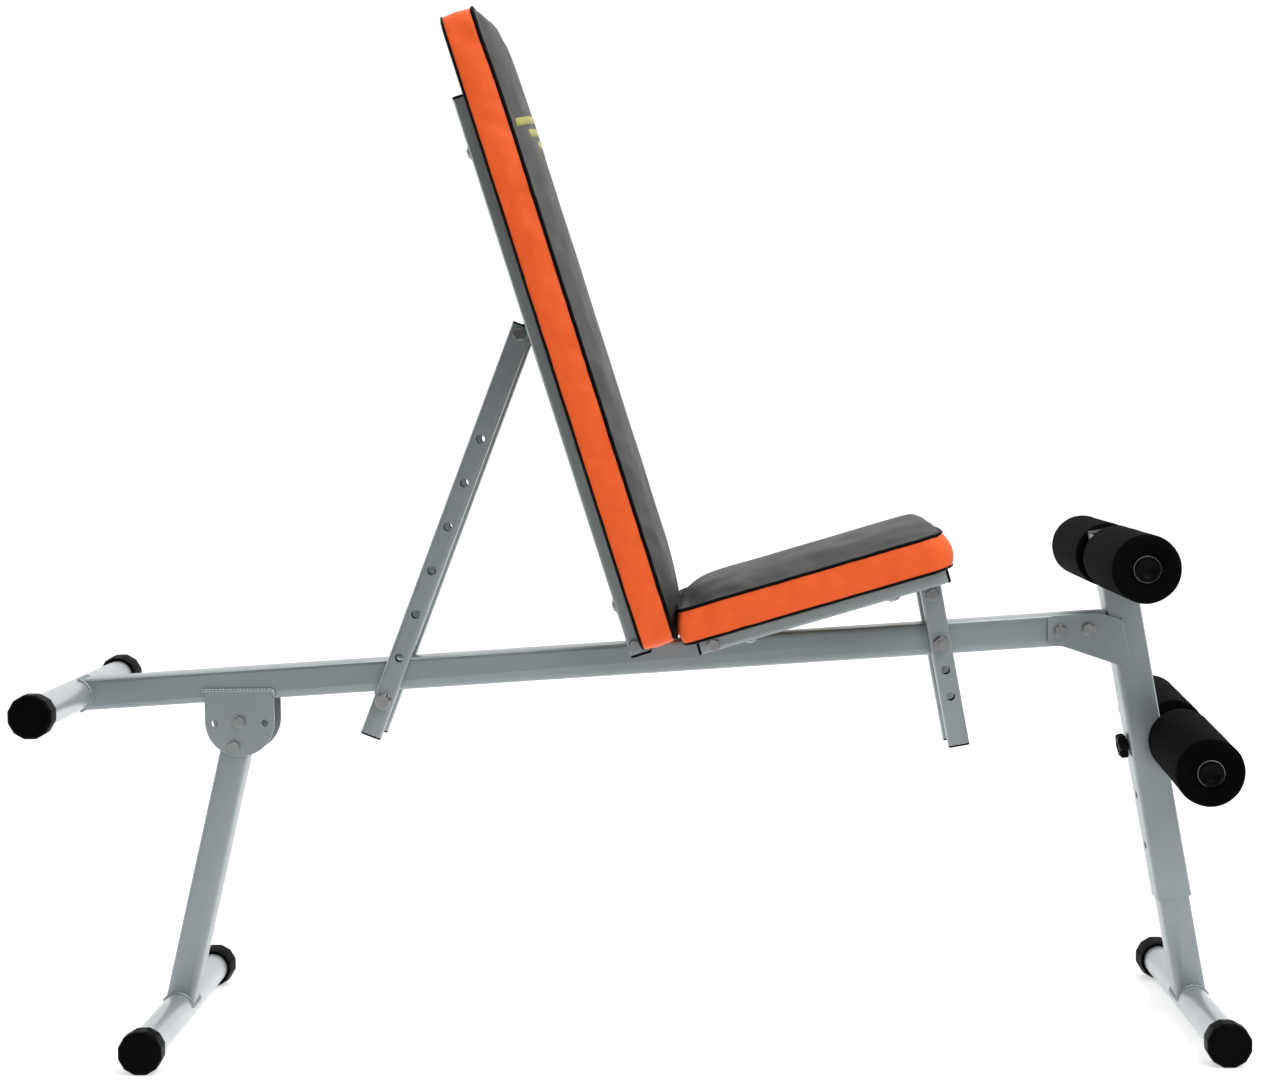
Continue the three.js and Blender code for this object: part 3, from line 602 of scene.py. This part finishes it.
class Cushion:
    """Closed cover of a pad: hem and rear face, side band, front seam and crowned face."""

    def __init__(self, pad, profile):
        self.pad = pad
        self.profile = profile
        self.steps = pad["steps"]
        self.count = 2 * sum(self.steps)
        self.points = []
        self.faces = []
        self.slots = []
        self.rings = []
        self.build()

    def rear_height(self, x, y):
        """The cover laps a little behind the rails' front plane where no rail is in its way."""
        lap = ease(abs(y), 78, 118)
        if self.pad["lap_end"]:
            lap = max(lap, ease(x, 690, 735))
        return self.pad["rear"] - self.pad["lap"] * lap

    def crown_height(self, x, y):
        low, high = self.pad["x"]
        across = 1 - min(1.0, abs(y) / self.pad["half"]) ** 2.2
        ends = min((x - low) / self.pad["roll"][0], (high - x) / self.pad["roll"][1])
        along = 1 - (1 - min(1.0, max(0.0, ends))) ** 2.4
        return self.pad["crown"] * across * along

    def add_ring(self, plan, height):
        self.rings.append(len(self.points))
        self.points.extend(Vector((x, y, height(x, y))) for x, y in plan)

    def add_sheet(self, ring_start, height, slot, turned):
        """Grid inside a ring, at the ring's edge heights plus height(x, y)."""
        along, across = self.steps
        ring = [self.points[ring_start + step] for step in range(self.count)]
        names = {}
        for place, point in spread(ring, self.steps).items():
            names[place] = len(self.points)
            self.points.append(point + Vector((0, 0, height(point.x, point.y))))
        for step_x in range(along + 1):
            for step_y in range(across + 1):
                edge = ring_index(step_x, step_y, self.steps)
                if edge is not None:
                    names[step_x, step_y] = ring_start + edge % self.count
        for step_x in range(along):
            for step_y in range(across):
                face = (names[step_x, step_y], names[step_x + 1, step_y],
                        names[step_x + 1, step_y + 1], names[step_x, step_y + 1])
                self.faces.append(face[::-1] if turned else face)
                self.slots.append(slot)
        return [names[place] for place in names if ring_index(*place, self.steps) is None]

    def build(self):
        pad = self.pad
        low, high = pad["x"]
        margin = pad["half"] - BOARD_HALF - 0.6

        def plan(inset, at):
            ends = self.profile(at)
            limits = (low + ends[0] + inset, high - ends[1] - inset)
            radii = [max(3.0, radius - inset) for radius in pad["corners"]]
            return plan_ring(limits, pad["half"] - ends[2] - inset, radii, self.steps)

        # Rear side, from the board's front face outwards.
        self.add_ring(plan(margin, 0), lambda x, y: pad["rear"] + BOARD + 0.7)
        self.add_ring(plan(margin, 0), lambda x, y: pad["rear"] + 1.0)
        self.add_ring(plan(margin - 1.5, 0), self.rear_height)
        self.add_ring(plan(4.5, 0), self.rear_height)
        hem_rings = len(self.rings)
        self.add_sheet(self.rings[0], lambda x, y: 0.0, BLACK, True)

        for step in range(BAND_STEPS + 1):
            share = step / BAND_STEPS

            def height(x, y):
                rear = self.rear_height(x, y) + 2.2
                seam = pad["seam"] - pad["bend"] * ease(x, 620, high)
                return rear + (seam - rear) * share

            self.add_ring(plan(0, share), height)
        for index, (first, second) in enumerate(zip(self.rings, self.rings[1:])):
            self.faces += ring_faces(first, second, self.count)
            self.slots += [BLACK if index < hem_rings else ORANGE] * self.count
        self.hem = [self.rings[hem_rings] + step for step in range(self.count)]
        self.seam = [self.rings[-1] + step for step in range(self.count)]
        self.face_points = self.add_sheet(self.rings[-1], self.crown_height, GREY, False)
        self.band_points = [start + step for start in self.rings[hem_rings + 1:-1]
                            for step in range(self.count)]

    def seam_distance(self, point):
        low, high = self.pad["x"]
        return min(self.pad["half"] - abs(point.y), point.x - low, high - point.x)


def simulate_cover(piece, pinned, frames, pressure, growth, cap):
    """Lets the cover swell as cloth between its pinned seams; cap limits each point's travel."""
    scene = bpy.context.scene
    start = [vertex.co.copy() for vertex in piece.data.vertices]
    group = piece.vertex_groups.new(name="seams")
    group.add(pinned, 1.0, "REPLACE")
    cover = piece.modifiers.new("cover", "CLOTH")
    settings = cover.settings
    for key, value in CLOTH_SETTINGS.items():
        setattr(settings, key, value)
    settings.use_pressure = True
    settings.uniform_pressure_force = pressure
    settings.shrink_min = -growth
    settings.vertex_group_mass = "seams"
    settings.effector_weights.gravity = 0
    cover.collision_settings.use_collision = False
    cover.point_cache.frame_start = 1
    cover.point_cache.frame_end = frames
    for number in range(1, frames + 1):
        scene.frame_set(number)
    evaluated = piece.evaluated_get(bpy.context.evaluated_depsgraph_get())
    moved = [vertex.co.copy() for vertex in evaluated.data.vertices]
    piece.modifiers.remove(cover)
    piece.vertex_groups.remove(group)
    scene.frame_set(1)
    limit = cap * MM
    for vertex, before, after in zip(piece.data.vertices, start, moved):
        travel = after - before
        if travel.length > limit:
            travel *= limit / travel.length
        vertex.co = before + travel


def wrinkle(piece, cushion, matrix, amounts):
    """Small creases of a stretched cover: puckers at the seam, lengthwise draws, side ripples."""
    back = matrix.inverted()
    up = matrix.to_3x3() @ Vector((0, 0, 1))
    piece.data.update()
    vertices = piece.data.vertices
    normals = [vertex.normal.copy() for vertex in vertices]
    for index in cushion.face_points:
        place = back @ (vertices[index].co / MM)
        depth = cushion.seam_distance(place)
        near = max(0.0, depth)
        pucker = math.exp(-near / 11) * noise.noise(Vector((place.x / 8, place.y / 8, 3)))
        draw = math.exp(-near / 55) * noise.noise(Vector((place.x / 95, place.y / 9, 11)))
        furrow = 0.6 + noise.noise(Vector((place.x / 45, place.y / 90, 5)))
        valley = math.exp(-((depth - 13) / 4.5) ** 2) * furrow
        soft = noise.noise(Vector((place.x / 60, place.y / 34, 19)))
        height = amounts["pucker"] * pucker + amounts["draw"] * draw + amounts["soft"] * soft
        vertices[index].co += normals[index] * ((height - amounts["valley"] * valley) * MM)
    for index in cushion.band_points:
        place = back @ (vertices[index].co / MM)
        ripple = noise.noise(Vector((place.x / 13, place.y / 13, place.z / 60)))
        swell = noise.noise(Vector((place.x / 70, place.y / 70, place.z / 30 + 7)))
        height = amounts["ripple"] * ripple + amounts["swell"] * swell
        vertices[index].co += normals[index] * (height * MM)
    for ring, size in ((cushion.hem, amounts["hem"]), (cushion.seam, 0.3)):
        for index in ring:
            place = back @ (vertices[index].co / MM)
            wave = noise.noise(Vector((place.x / 26, place.y / 26, 41)))
            vertices[index].co += up * (size * wave * MM)


def apply_subdivision(piece):
    """Turns one level of subdivision into the piece's own mesh."""
    modifier = piece.modifiers.new("fine", "SUBSURF")
    modifier.levels = 1
    modifier.render_levels = 1
    evaluated = piece.evaluated_get(bpy.context.evaluated_depsgraph_get())
    mesh = bpy.data.meshes.new_from_object(evaluated)
    piece.modifiers.clear()
    piece.data = mesh


def material_border(mesh, first, second):
    """Closed line of points, in millimetres, between faces of two materials."""
    owners = {}
    for face in mesh.polygons:
        for edge in face.edge_keys:
            owners.setdefault(edge, []).append(face.material_index)
    links = {}
    for edge, kinds in owners.items():
        if sorted(kinds) == sorted((first, second)):
            links.setdefault(edge[0], []).append(edge[1])
            links.setdefault(edge[1], []).append(edge[0])
    start = min(links)
    line = [start]
    before = None
    here = start
    while True:
        after = next(other for other in links[here] if other != before)
        if after == start:
            break
        line.append(after)
        before, here = here, after
    return [mesh.vertices[index].co / MM for index in line]


def upright_ends(at):
    """Insets of the backrest's lower end, upper end and sides at a share of the band's height."""
    bulge = 4 * at * (1 - at)
    return (1.5 - 1.5 * bulge, 0.8 * (1 - bulge), 0.8 * (1 - bulge))


def seat_ends(at):
    """The same for the seat: its rear end leans forward and its front lower edge is rounded."""
    bulge = 4 * at * (1 - at)
    rear = 1 - bulge + 2 * (1 - at) ** 4 + 6 * ease(at, 0.3, 1.0)
    return (rear, 9 * (1 - at) ** 2.5 + 11 * at ** 2, 0.8 * (1 - bulge))


def make_cushion(name, pad, profile, matrix, body, cad_node, amounts):
    cushion = Cushion(pad, profile)
    slots = ["orange_vinyl", "grey_vinyl", "black_piping"]
    piece = make_mesh(name, cushion.points, cushion.faces, matrix, slots, cushion.slots)
    free = set(cushion.face_points) | set(cushion.band_points)
    pinned = [index for index in range(len(cushion.points)) if index not in free]
    simulate_cover(piece, pinned, **CLOTH)
    wrinkle(piece, cushion, matrix, amounts)
    apply_subdivision(piece)
    attach(piece, body)
    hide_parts(cad_node)

    forward = matrix.to_3x3() @ Vector((0, 0, 1))
    seam = [point + forward * 0.6 for point in material_border(piece.data, GREY, ORANGE)]
    hem = material_border(piece.data, BLACK, ORANGE)
    cords = []
    for label, path, radius in (("front", seam, amounts["piping"]), ("rear", hem, 1.5)):
        cord = Builder()
        cord.sweep(path, radius, closed=True, sides=10)
        cords.append(cord.make(f"{body}_{label}_piping", body, "black_piping"))
    return piece, cushion, cords


def squash_seat(pieces):
    """Gives the seat's pieces their own mesh data; the backrest's cushion pressing the seat's rear end forward as
    the seat tips back is not modelled.
    """
    for piece in pieces:
        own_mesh(piece)


def add_staples(name, cushion, matrix, body):
    """Wire staples that hold the cover's hem to the back of the board."""
    staples = Builder()
    dice = random.Random(len(name))
    pad = cushion.pad
    low, high = pad["x"]
    inset = 24
    reach = 5.5
    legs = Vector((0, 0, 1.2))
    ring = plan_ring((low + inset, high - inset), pad["half"] - inset, [10, 20], cushion.steps)
    for step in range(0, len(ring), 3):
        x, y = ring[step]
        if RAIL_CLEAR[0] < abs(y) < RAIL_CLEAR[1]:
            continue
        ahead = Vector(ring[(step + 1) % len(ring)]) - Vector(ring[step - 1])
        angle = math.atan2(ahead.y, ahead.x) + dice.uniform(-0.25, 0.25)
        shift = Vector((math.cos(angle), math.sin(angle), 0)) * reach
        middle = Vector((x, y, pad["rear"] - 0.15))
        wire = [middle - shift + legs, middle - shift, middle + shift, middle + shift + legs]
        staples.sweep([matrix @ point for point in wire], 0.45, sides=6)
    staples.make(name, body, "zinc_steel")


def add_emblem(face_piece):
    """Plain generic mark near the head end of the backrest: three nested chevrons."""
    polygons = [tuple(face.vertices) for face in face_piece.data.polygons]
    surface = BVHTree.FromPolygons([vertex.co for vertex in face_piece.data.vertices], polygons)
    mark = Builder()
    toward = BACK_CUSHION.to_3x3() @ Vector((0, 0, -1))
    steps = 18
    for index in range(EMBLEM["nested"]):
        half = EMBLEM["half"] * (1 - 0.3 * index)
        peak = EMBLEM["along"] + EMBLEM["rise"] - 1.7 * EMBLEM["bar"] * index
        drop = EMBLEM["rise"] * (1 - 0.3 * index)
        for side in (-1, 1):
            points = []
            for row in range(steps + 1):
                share = row / steps
                for edge in (0, 1):
                    flat = Vector((peak - drop * share - EMBLEM["bar"] * edge, side * half * share, 120))
                    hit = surface.ray_cast((BACK_CUSHION @ flat) * MM, toward)[0]
                    points.append(hit / MM - toward * EMBLEM["lift"])
                    points.append(hit / MM + toward * 0.2)
            faces = []
            for row in range(steps):
                base = 4 * row
                for first, second in ((0, 2), (2, 3), (3, 1), (1, 0)):
                    faces.append((base + first, base + second, base + 4 + second, base + 4 + first))
            faces.append((0, 1, 3, 2))
            last = 4 * steps
            faces.append((last, last + 2, last + 3, last + 1))
            mark.shell(points, faces)
    mark.make("backrest_emblem", "backrest", "emblem_print")


# -------- foam sleeves


def add_foam_sleeve(body, axle, side):
    """Foam tube with soft rounded ends and an uneven skin, along the axle to one side."""
    sides = 96
    rounded = FOAM["round"]
    length = FOAM["to"] - FOAM["from"]
    profile = [(FOAM["bore"], 0.4)]
    for step in range(7):
        angle = math.pi / 2 * step / 6
        profile.append((FOAM["radius"] - rounded * (1 - math.sin(angle)),
                        rounded * (1 - math.cos(angle))))
    for step in range(1, 30):
        profile.append((FOAM["radius"], rounded + (length - 2 * rounded) * step / 30))
    for step in range(7):
        angle = math.pi / 2 * step / 6
        profile.append((FOAM["radius"] - rounded * (1 - math.cos(angle)),
                        length - rounded * (1 - math.sin(angle))))
    profile.append((FOAM["bore"], length - 0.4))
    for step in range(1, 12):
        profile.append((FOAM["bore"], length * (1 - step / 12)))
    seed = 17.0 * side + axle.translation.z
    points = []
    for radius, height in profile:
        soft = ease(radius, FOAM["bore"] + 1, FOAM["radius"])
        for step in range(sides):
            angle = 2 * math.pi * step / sides
            around = Vector((math.cos(angle), math.sin(angle), 0))
            dent = noise.noise(Vector((2.2 * around.x, 2.2 * around.y, height / 40 + seed)))
            grain = noise.noise(Vector((9 * around.x, 9 * around.y, height / 5 + seed)))
            size = radius + soft * (0.45 * dent + 0.12 * grain)
            points.append((size * around.x, side * (FOAM["from"] + height), size * around.y))
    faces = []
    rings = len(profile)
    for ring in range(rings):
        faces += ring_faces(ring * sides, (ring + 1) % rings * sides, sides)
    piece = make_mesh(f"{body}_sleeve", points, faces, axle, ["black_foam"])
    attach(piece, body)
    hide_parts(body)

# -------- plugs, knob and screws


def add_axle_plugs(name, axle, body):
    plugs = Builder()
    for _, side in SIDES:
        matrix = turn_to((0, side, 0), axle @ Vector((0, side * AXLE_HALF, 0)))
        profile = [(0, -12), (AXLE_BORE - 0.5, -12), (AXLE_BORE - 0.3, 0.1), (AXLE_BORE + 1.15, 0.15),
                   (AXLE_BORE + 1.15, 0.8), (AXLE_BORE + 0.5, 1.4), (9.5, 1.5), (8.8, 0.8), (0, 0.6)]
        plugs.lathe(profile, matrix, 48)
    plugs.make(name, body, "black_plastic")


def plug_shape(width, depth, flange):
    """Rectangular tube end plug along local +Z: a body inside the tube and a rounded flange."""
    points = []
    faces = []
    rows = ((-9, 2.6, 0.6), (0.1, 2.2, 1.2), (0.15, 0.0, 2.6), (flange - 1.2, 0.0, 2.6),
            (flange - 0.35, 0.35, 2.6), (flange, 1.3, 2.2))
    steps = 4
    for height, inset, corner in rows:
        half_x = width / 2 - inset
        half_y = depth / 2 - inset
        for side_x, side_y, turn in ((1, 1, 0), (-1, 1, 1), (-1, -1, 2), (1, -1, 3)):
            for step in range(steps + 1):
                angle = math.pi / 2 * (turn + step / steps)
                points.append((side_x * (half_x - corner) + corner * math.cos(angle),
                               side_y * (half_y - corner) + corner * math.sin(angle), height))
    count = 4 * (steps + 1)
    for row in range(len(rows) - 1):
        faces += ring_faces(row * count, (row + 1) * count, count)
    faces.append(tuple(range(count))[::-1])
    top = (len(rows) - 1) * count
    faces.append(tuple(top + step for step in range(count)))
    return points, faces


def add_end_plugs(name, body, matrix, ends, width, depth, flange=3.2):
    """Plugs at (place, turn) pairs of a local frame; a plug is width by depth across its axis."""
    plugs = Builder()
    points, faces = plug_shape(width, depth, flange)
    for place, turn in ends:
        plugs.shell(points, faces, matrix @ Matrix.Translation(place) @ turn)
    plugs.make(name, body, "black_plastic")


UP = Matrix.Identity(4)
DOWN = Matrix.Rotation(math.pi, 4, "X")
FORWARD = Matrix.Rotation(math.pi / 2, 4, "Y")
BACKWARD = Matrix.Rotation(-math.pi / 2, 4, "Y")


def add_plugs():
    add_axle_plugs("upper_axle_plugs", UPPER_AXLE, "root")
    add_axle_plugs("lower_axle_plugs", LOWER_AXLE, "lower_roller")

    middle = BACK_RAIL["face"] + RAIL / 2
    ends = [((middle, side * RAIL_OFFSET, BACK_RAIL[end]), turn)
            for _, side in SIDES for end, turn in (("end", UP), ("start", DOWN))]
    add_end_plugs("backrest_rail_plugs", "backrest", BACK, ends, RAIL, RAIL)

    middle = SEAT_RAIL["face"] + RAIL / 2
    ends = [((SEAT_RAIL[end], side * RAIL_OFFSET, middle), turn)
            for _, side in SIDES for end, turn in (("end", FORWARD), ("start", BACKWARD))]
    add_end_plugs("seat_rail_plugs", "seat", SEAT, ends, RAIL, RAIL)

    struts = (("backrest_strut", BACK_STRUT, BACK_ARM_END), ("seat_strut", SEAT_STRUT, SEAT_ARM_END))
    for body, matrix, length in struts:
        ends = [((0, side * ARM["middle"], height), turn)
                for _, side in SIDES for height, turn in ((ARM["above"], UP), (-length, DOWN))]
        add_end_plugs(f"{body}_plugs", body, matrix, ends, ARM["width"], ARM["depth"], 2.4)


def add_knob():
    """Lobed hand knob with a dished face."""
    away = POST.to_3x3() @ Vector((-1, 0, 0))
    matrix = turn_to(away, joint_place("height_knob_turn"))

    def lobes(angle, radius):
        share = ease(radius, KNOB["radius"] * KNOB["lean_in"], KNOB["radius"])
        return KNOB["lobe"] * share * math.cos(KNOB["lobes"] * angle)

    knob = Builder()
    profile = [(0, 0.1), (7.6, 0.1), (8.0, 0.5), (8.2, 0.9), (11.6, 1.3), (12.7, 2.2), (13.2, 3.6),
               (13.2, 7.6), (12.8, 9.5), (11.8, 10.9), (10.2, 11.6), (7.6, 11.9), (6.6, 11.3),
               (5.6, 10.4), (0, 10.2)]
    knob.lathe(profile, matrix, 72, lobes)
    piece = knob.make("height_knob_grip", "height_knob", "black_plastic")
    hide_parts("height_knob")


def screw_head(builder, matrix):
    """Pan head with a washer and a round socket, along local +Z from z = 0."""
    washer = [(0, 0.05), (8.6, 0.05), (8.8, 0.5), (8.6, 1.1), (0, 1.1)]
    head = [(0, 1.15), (6.4, 1.15), (6.4, 1.7), (5.952, 2.5), (4.608, 3.3), (3.2, 3.7), (2.816, 3.6),
            (2.56, 2.2), (0, 2.1)]
    builder.lathe(washer, matrix)
    builder.lathe(head, matrix)


def add_pad_screws():
    """Screws that pass through the rails into the boards."""
    backrest = Builder()
    seat = Builder()
    for _, side in SIDES:
        for along in BACK_SCREWS:
            place = BACK @ Vector((BACK_RAIL["face"], side * RAIL_OFFSET, along))
            screw_head(backrest, turn_to(BACK.to_3x3() @ Vector((-1, 0, 0)), place))
        for along in SEAT_SCREWS:
            place = SEAT @ Vector((along, side * RAIL_OFFSET, SEAT_RAIL["face"]))
            screw_head(seat, turn_to(SEAT.to_3x3() @ Vector((0, 0, -1)), place))
    backrest.make("backrest_pad_screws", "backrest", "zinc_steel")
    seat.make("seat_pad_screws", "seat", "zinc_steel")

# -------- welds

WELD = {"radius": 2.0, "wobble": 0.13, "pitch": 4.2, "step": 1.1}


def fine_path(corners, closed=False):
    """Points every WELD step along straight runs between corners."""
    corners = [Vector(corner) for corner in corners]
    ends = corners[1:] + (corners[:1] if closed else [])
    path = []
    for start, end in zip(corners, ends):
        count = max(1, round((end - start).length / WELD["step"]))
        path.extend(start.lerp(end, step / count) for step in range(count))
    if not closed:
        path.append(corners[-1])
    return path


def tube_on_bar(half, bar_radius):
    """Line where a square tube along +Z meets a round bar along Y at the local origin."""
    corners = [(half, -half, 0), (half, half, 0), (-half, half, 0), (-half, -half, 0)]
    reach = bar_radius + 0.4
    path = []
    for point in fine_path(corners, closed=True):
        out = Vector((point.x, point.y, 0)) * (1 + 0.5 / half)
        out.z = math.sqrt(max(0.0, reach ** 2 - min(abs(out.x), reach) ** 2))
        path.append(out)
    return path


def add_welds():
    root, leg, backrest, seat = (Builder() for _ in range(4))

    def bead(builder, path, matrix=None, closed=False, seed=1, radius=WELD["radius"]):
        placed = [matrix @ point for point in path] if matrix else path
        builder.sweep(placed, radius, closed, 10, WELD["wobble"], WELD["pitch"], seed)

    bead(leg, tube_on_bar(LEG_HALF, BAR_RADIUS), LEG, True, 3)
    bead(root, tube_on_bar(INNER_POST_HALF, BAR_RADIUS), POST, True, 4)
    beam_end = BEAM @ Matrix.Rotation(math.pi / 2, 4, "Y")
    bead(root, tube_on_bar(BEAM_HALF - 0.6, BAR_RADIUS + 0.3), beam_end, True, 5)

    for node in ("backrest_hinge_tube", "seat_hinge_tube"):
        for side in (-1, 1):
            bead(root, beside_hinge_tube(node, side), None, False, 12 + side, 1.8)
    for label, side in SIDES:
        low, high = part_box(f"leg_plate_{label}")
        face = side * (BEAM_HALF + 1.8)
        top = high.z / MM + 0.8
        rear = low.x / MM - 2.5
        front = high.x / MM - 1
        path = fine_path([(rear, face, top), (front - 3, face, top), (front, face, top - 2),
                          (front + 1.2, face, top - 7)])
        bead(root, path, None, False, 6 + side, 2.4)
        outer = side * 21.6
        path = fine_path([(x, outer, z) for x, z in PLATE_FRONT])
        bead(root, path, None, False, 9 + side)
        for builder, node in ((backrest, "backrest_crossbar"), (seat, "seat_crossbar")):
            bead(builder, crossbar_loop(node, side), None, True, 20 + side, 1.5)
    for builder, name, body in ((root, "frame_welds", "root"), (leg, "rear_leg_weld", "rear_leg"),
                                (backrest, "backrest_welds", "backrest"), (seat, "seat_welds", "seat")):
        builder.make(name, body, "silver_paint")


def beside_hinge_tube(node, side):
    """Bead across the beam's top face, along one side of a hinge tube."""
    centre = middle_of(node)
    slope = math.radians(BEAM_SLOPE)
    across = BEAM_HALF - 2
    top = BEAM @ Vector(((centre.x - REAR_BAR.x) / math.cos(slope), 0, BEAM_HALF))
    place = Vector((centre.x + side * 10.6, 0, top.z + side * 10.6 * math.tan(slope) + 0.5))
    return fine_path([place + Vector((0, -across, 0)), place + Vector((0, across, 0))])


def crossbar_loop(node, side):
    """Closed bead round a square cross bar where it meets a rail's inner face."""
    low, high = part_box(node)
    lean = BACK_LEAN if node.startswith("backrest") else SEAT_SLOPE
    centre = middle_of(node)
    matrix = leaning(Vector((centre.x, 0, centre.z)), -lean)
    spin = math.radians(lean)
    wide = (high.x - low.x) / MM
    tall = (high.z - low.z) / MM
    shear = math.cos(spin) ** 2 - math.sin(spin) ** 2
    half_x = (wide * math.cos(spin) - tall * math.sin(spin)) / shear / 2
    half_z = (tall * math.cos(spin) - wide * math.sin(spin)) / shear / 2
    y = side * (RAIL_OFFSET - RAIL / 2 - 0.8)
    corners = [(half_x, y, half_z), (-half_x, y, half_z), (-half_x, y, -half_z), (half_x, y, -half_z)]
    return [matrix @ point for point in fine_path(corners, closed=True)]

# -------- stage


def add_floor():
    size = 9.0
    mesh = bpy.data.meshes.new("floor")
    mesh.from_pydata([(-size, -size, 0), (size, -size, 0), (size, size, 0), (-size, size, 0)], [],
                     [(0, 1, 2, 3)])
    floor = link("floor", mesh)
    mesh.materials.append(floor_material())


def add_area_light(name, place, target, size, power):
    light = bpy.data.lights.new(name, "AREA")
    light.shape = "RECTANGLE"
    light.size = size[0]
    light.size_y = size[1]
    light.energy = power
    lamp = link(name, light)
    lamp.location = place
    lamp.rotation_euler = (Vector(target) - Vector(place)).to_track_quat("-Z", "Y").to_euler()


DIM_SIDE = 0.14     # brightness of the studio behind the camera
BRIGHT_SIDE = 1.06  # and of the backdrop


def add_lights():
    """Studio, dim behind the camera for contrast; its backdrop looks white all round."""
    scene = bpy.context.scene
    world = bpy.data.worlds.new("studio")
    nodes = Nodes("studio", world)
    across = nodes.add("ShaderNodeSeparateXYZ", Vector=nodes.place).outputs["Y"]
    fade = nodes.ramp(across, DIM_SIDE, BRIGHT_SIDE, -0.4, 0.5, "SMOOTHSTEP")
    seen = nodes.add("ShaderNodeLightPath").outputs["Is Camera Ray"]
    nodes.set(Color=rgb(1, 1, 1), Strength=nodes.combine("MAXIMUM", fade, seen))
    scene.world = world
    scene.view_settings.view_transform = "Standard"
    scene.view_settings.exposure = 0.0
    middle = (0.0, 0.0, 0.5)
    for name, place, size, power in (("top", (0.0, -0.2, 3.0), (2.6, 1.4), 30),
                                     ("front_end", (3.2, -0.3, 1.0), (1.4, 1.6), 12),
                                     ("rear_end", (-3.2, -0.4, 1.0), (1.4, 1.6), 12),
                                     ("key", (1.4, -2.0, 2.8), (1.8, 1.2), 68)):
        add_area_light(name, place, middle, size, power)


def add_camera():
    """Camera on the bench's right, level with the seat and turned a little to the rear."""
    place = Vector((84, -2567, 751)) * MM
    yaw = math.radians(1.64)
    pitch = math.radians(3.62)
    roll = math.radians(-0.90)
    forward = Vector((-math.sin(yaw) * math.cos(pitch), math.cos(yaw) * math.cos(pitch),
                      -math.sin(pitch)))
    level = Vector((math.cos(yaw), math.sin(yaw), 0))
    upright = level.cross(forward)
    right = math.cos(roll) * level + math.sin(roll) * upright
    up = -math.sin(roll) * level + math.cos(roll) * upright
    data = bpy.data.cameras.new("camera")
    data.lens = 60.5
    data.sensor_width = 36
    camera = link("camera", data)
    turn = Matrix((right, up, -forward)).transposed().to_4x4()
    camera.matrix_world = Matrix.Translation(place) @ turn
    bpy.context.scene.camera = camera

# -------- assembly


add_camera()
add_lights()
add_floor()
finish_cad_nodes()
# the strut arms' inner walls: near-black bare steel, partly painted shade of the holes
for label, _ in SIDES:
    darken_inside(frame["nodes"][f"backrest_strut_arm_{label}"], BACK_STRUT)
    darken_inside(frame["nodes"][f"seat_strut_arm_{label}"], SEAT_STRUT)

BACK_FOLDS = {"pucker": 0.5, "draw": 0.8, "soft": 0.5, "valley": 0.25, "ripple": 0.25, "swell": 0.5,
              "hem": 0.9, "piping": 2.4}
SEAT_FOLDS = {"pucker": 0.5, "draw": 1.3, "soft": 0.8, "valley": 1.1, "ripple": 0.25, "swell": 0.5,
              "hem": 0.7, "piping": 2.0}
back_piece, back_cushion, _ = make_cushion("backrest_cushion", BACK_PAD, upright_ends, BACK_CUSHION,
                                           "backrest", "backrest_pad", BACK_FOLDS)
seat_piece, seat_cushion, seat_cords = make_cushion("seat_cushion", SEAT_PAD, seat_ends, SEAT_CUSHION,
                                                    "seat", "seat_pad", SEAT_FOLDS)
squash_seat([seat_piece] + seat_cords)
add_staples("backrest_staples", back_cushion, BACK_CUSHION, "backrest")
add_staples("seat_staples", seat_cushion, SEAT_CUSHION, "seat")
add_emblem(back_piece)
for label, side in SIDES:
    add_foam_sleeve(f"upper_foam_{label}", UPPER_AXLE, side)
    add_foam_sleeve(f"lower_foam_{label}", LOWER_AXLE, side)
add_plugs()
add_knob()
add_pad_screws()
add_welds()
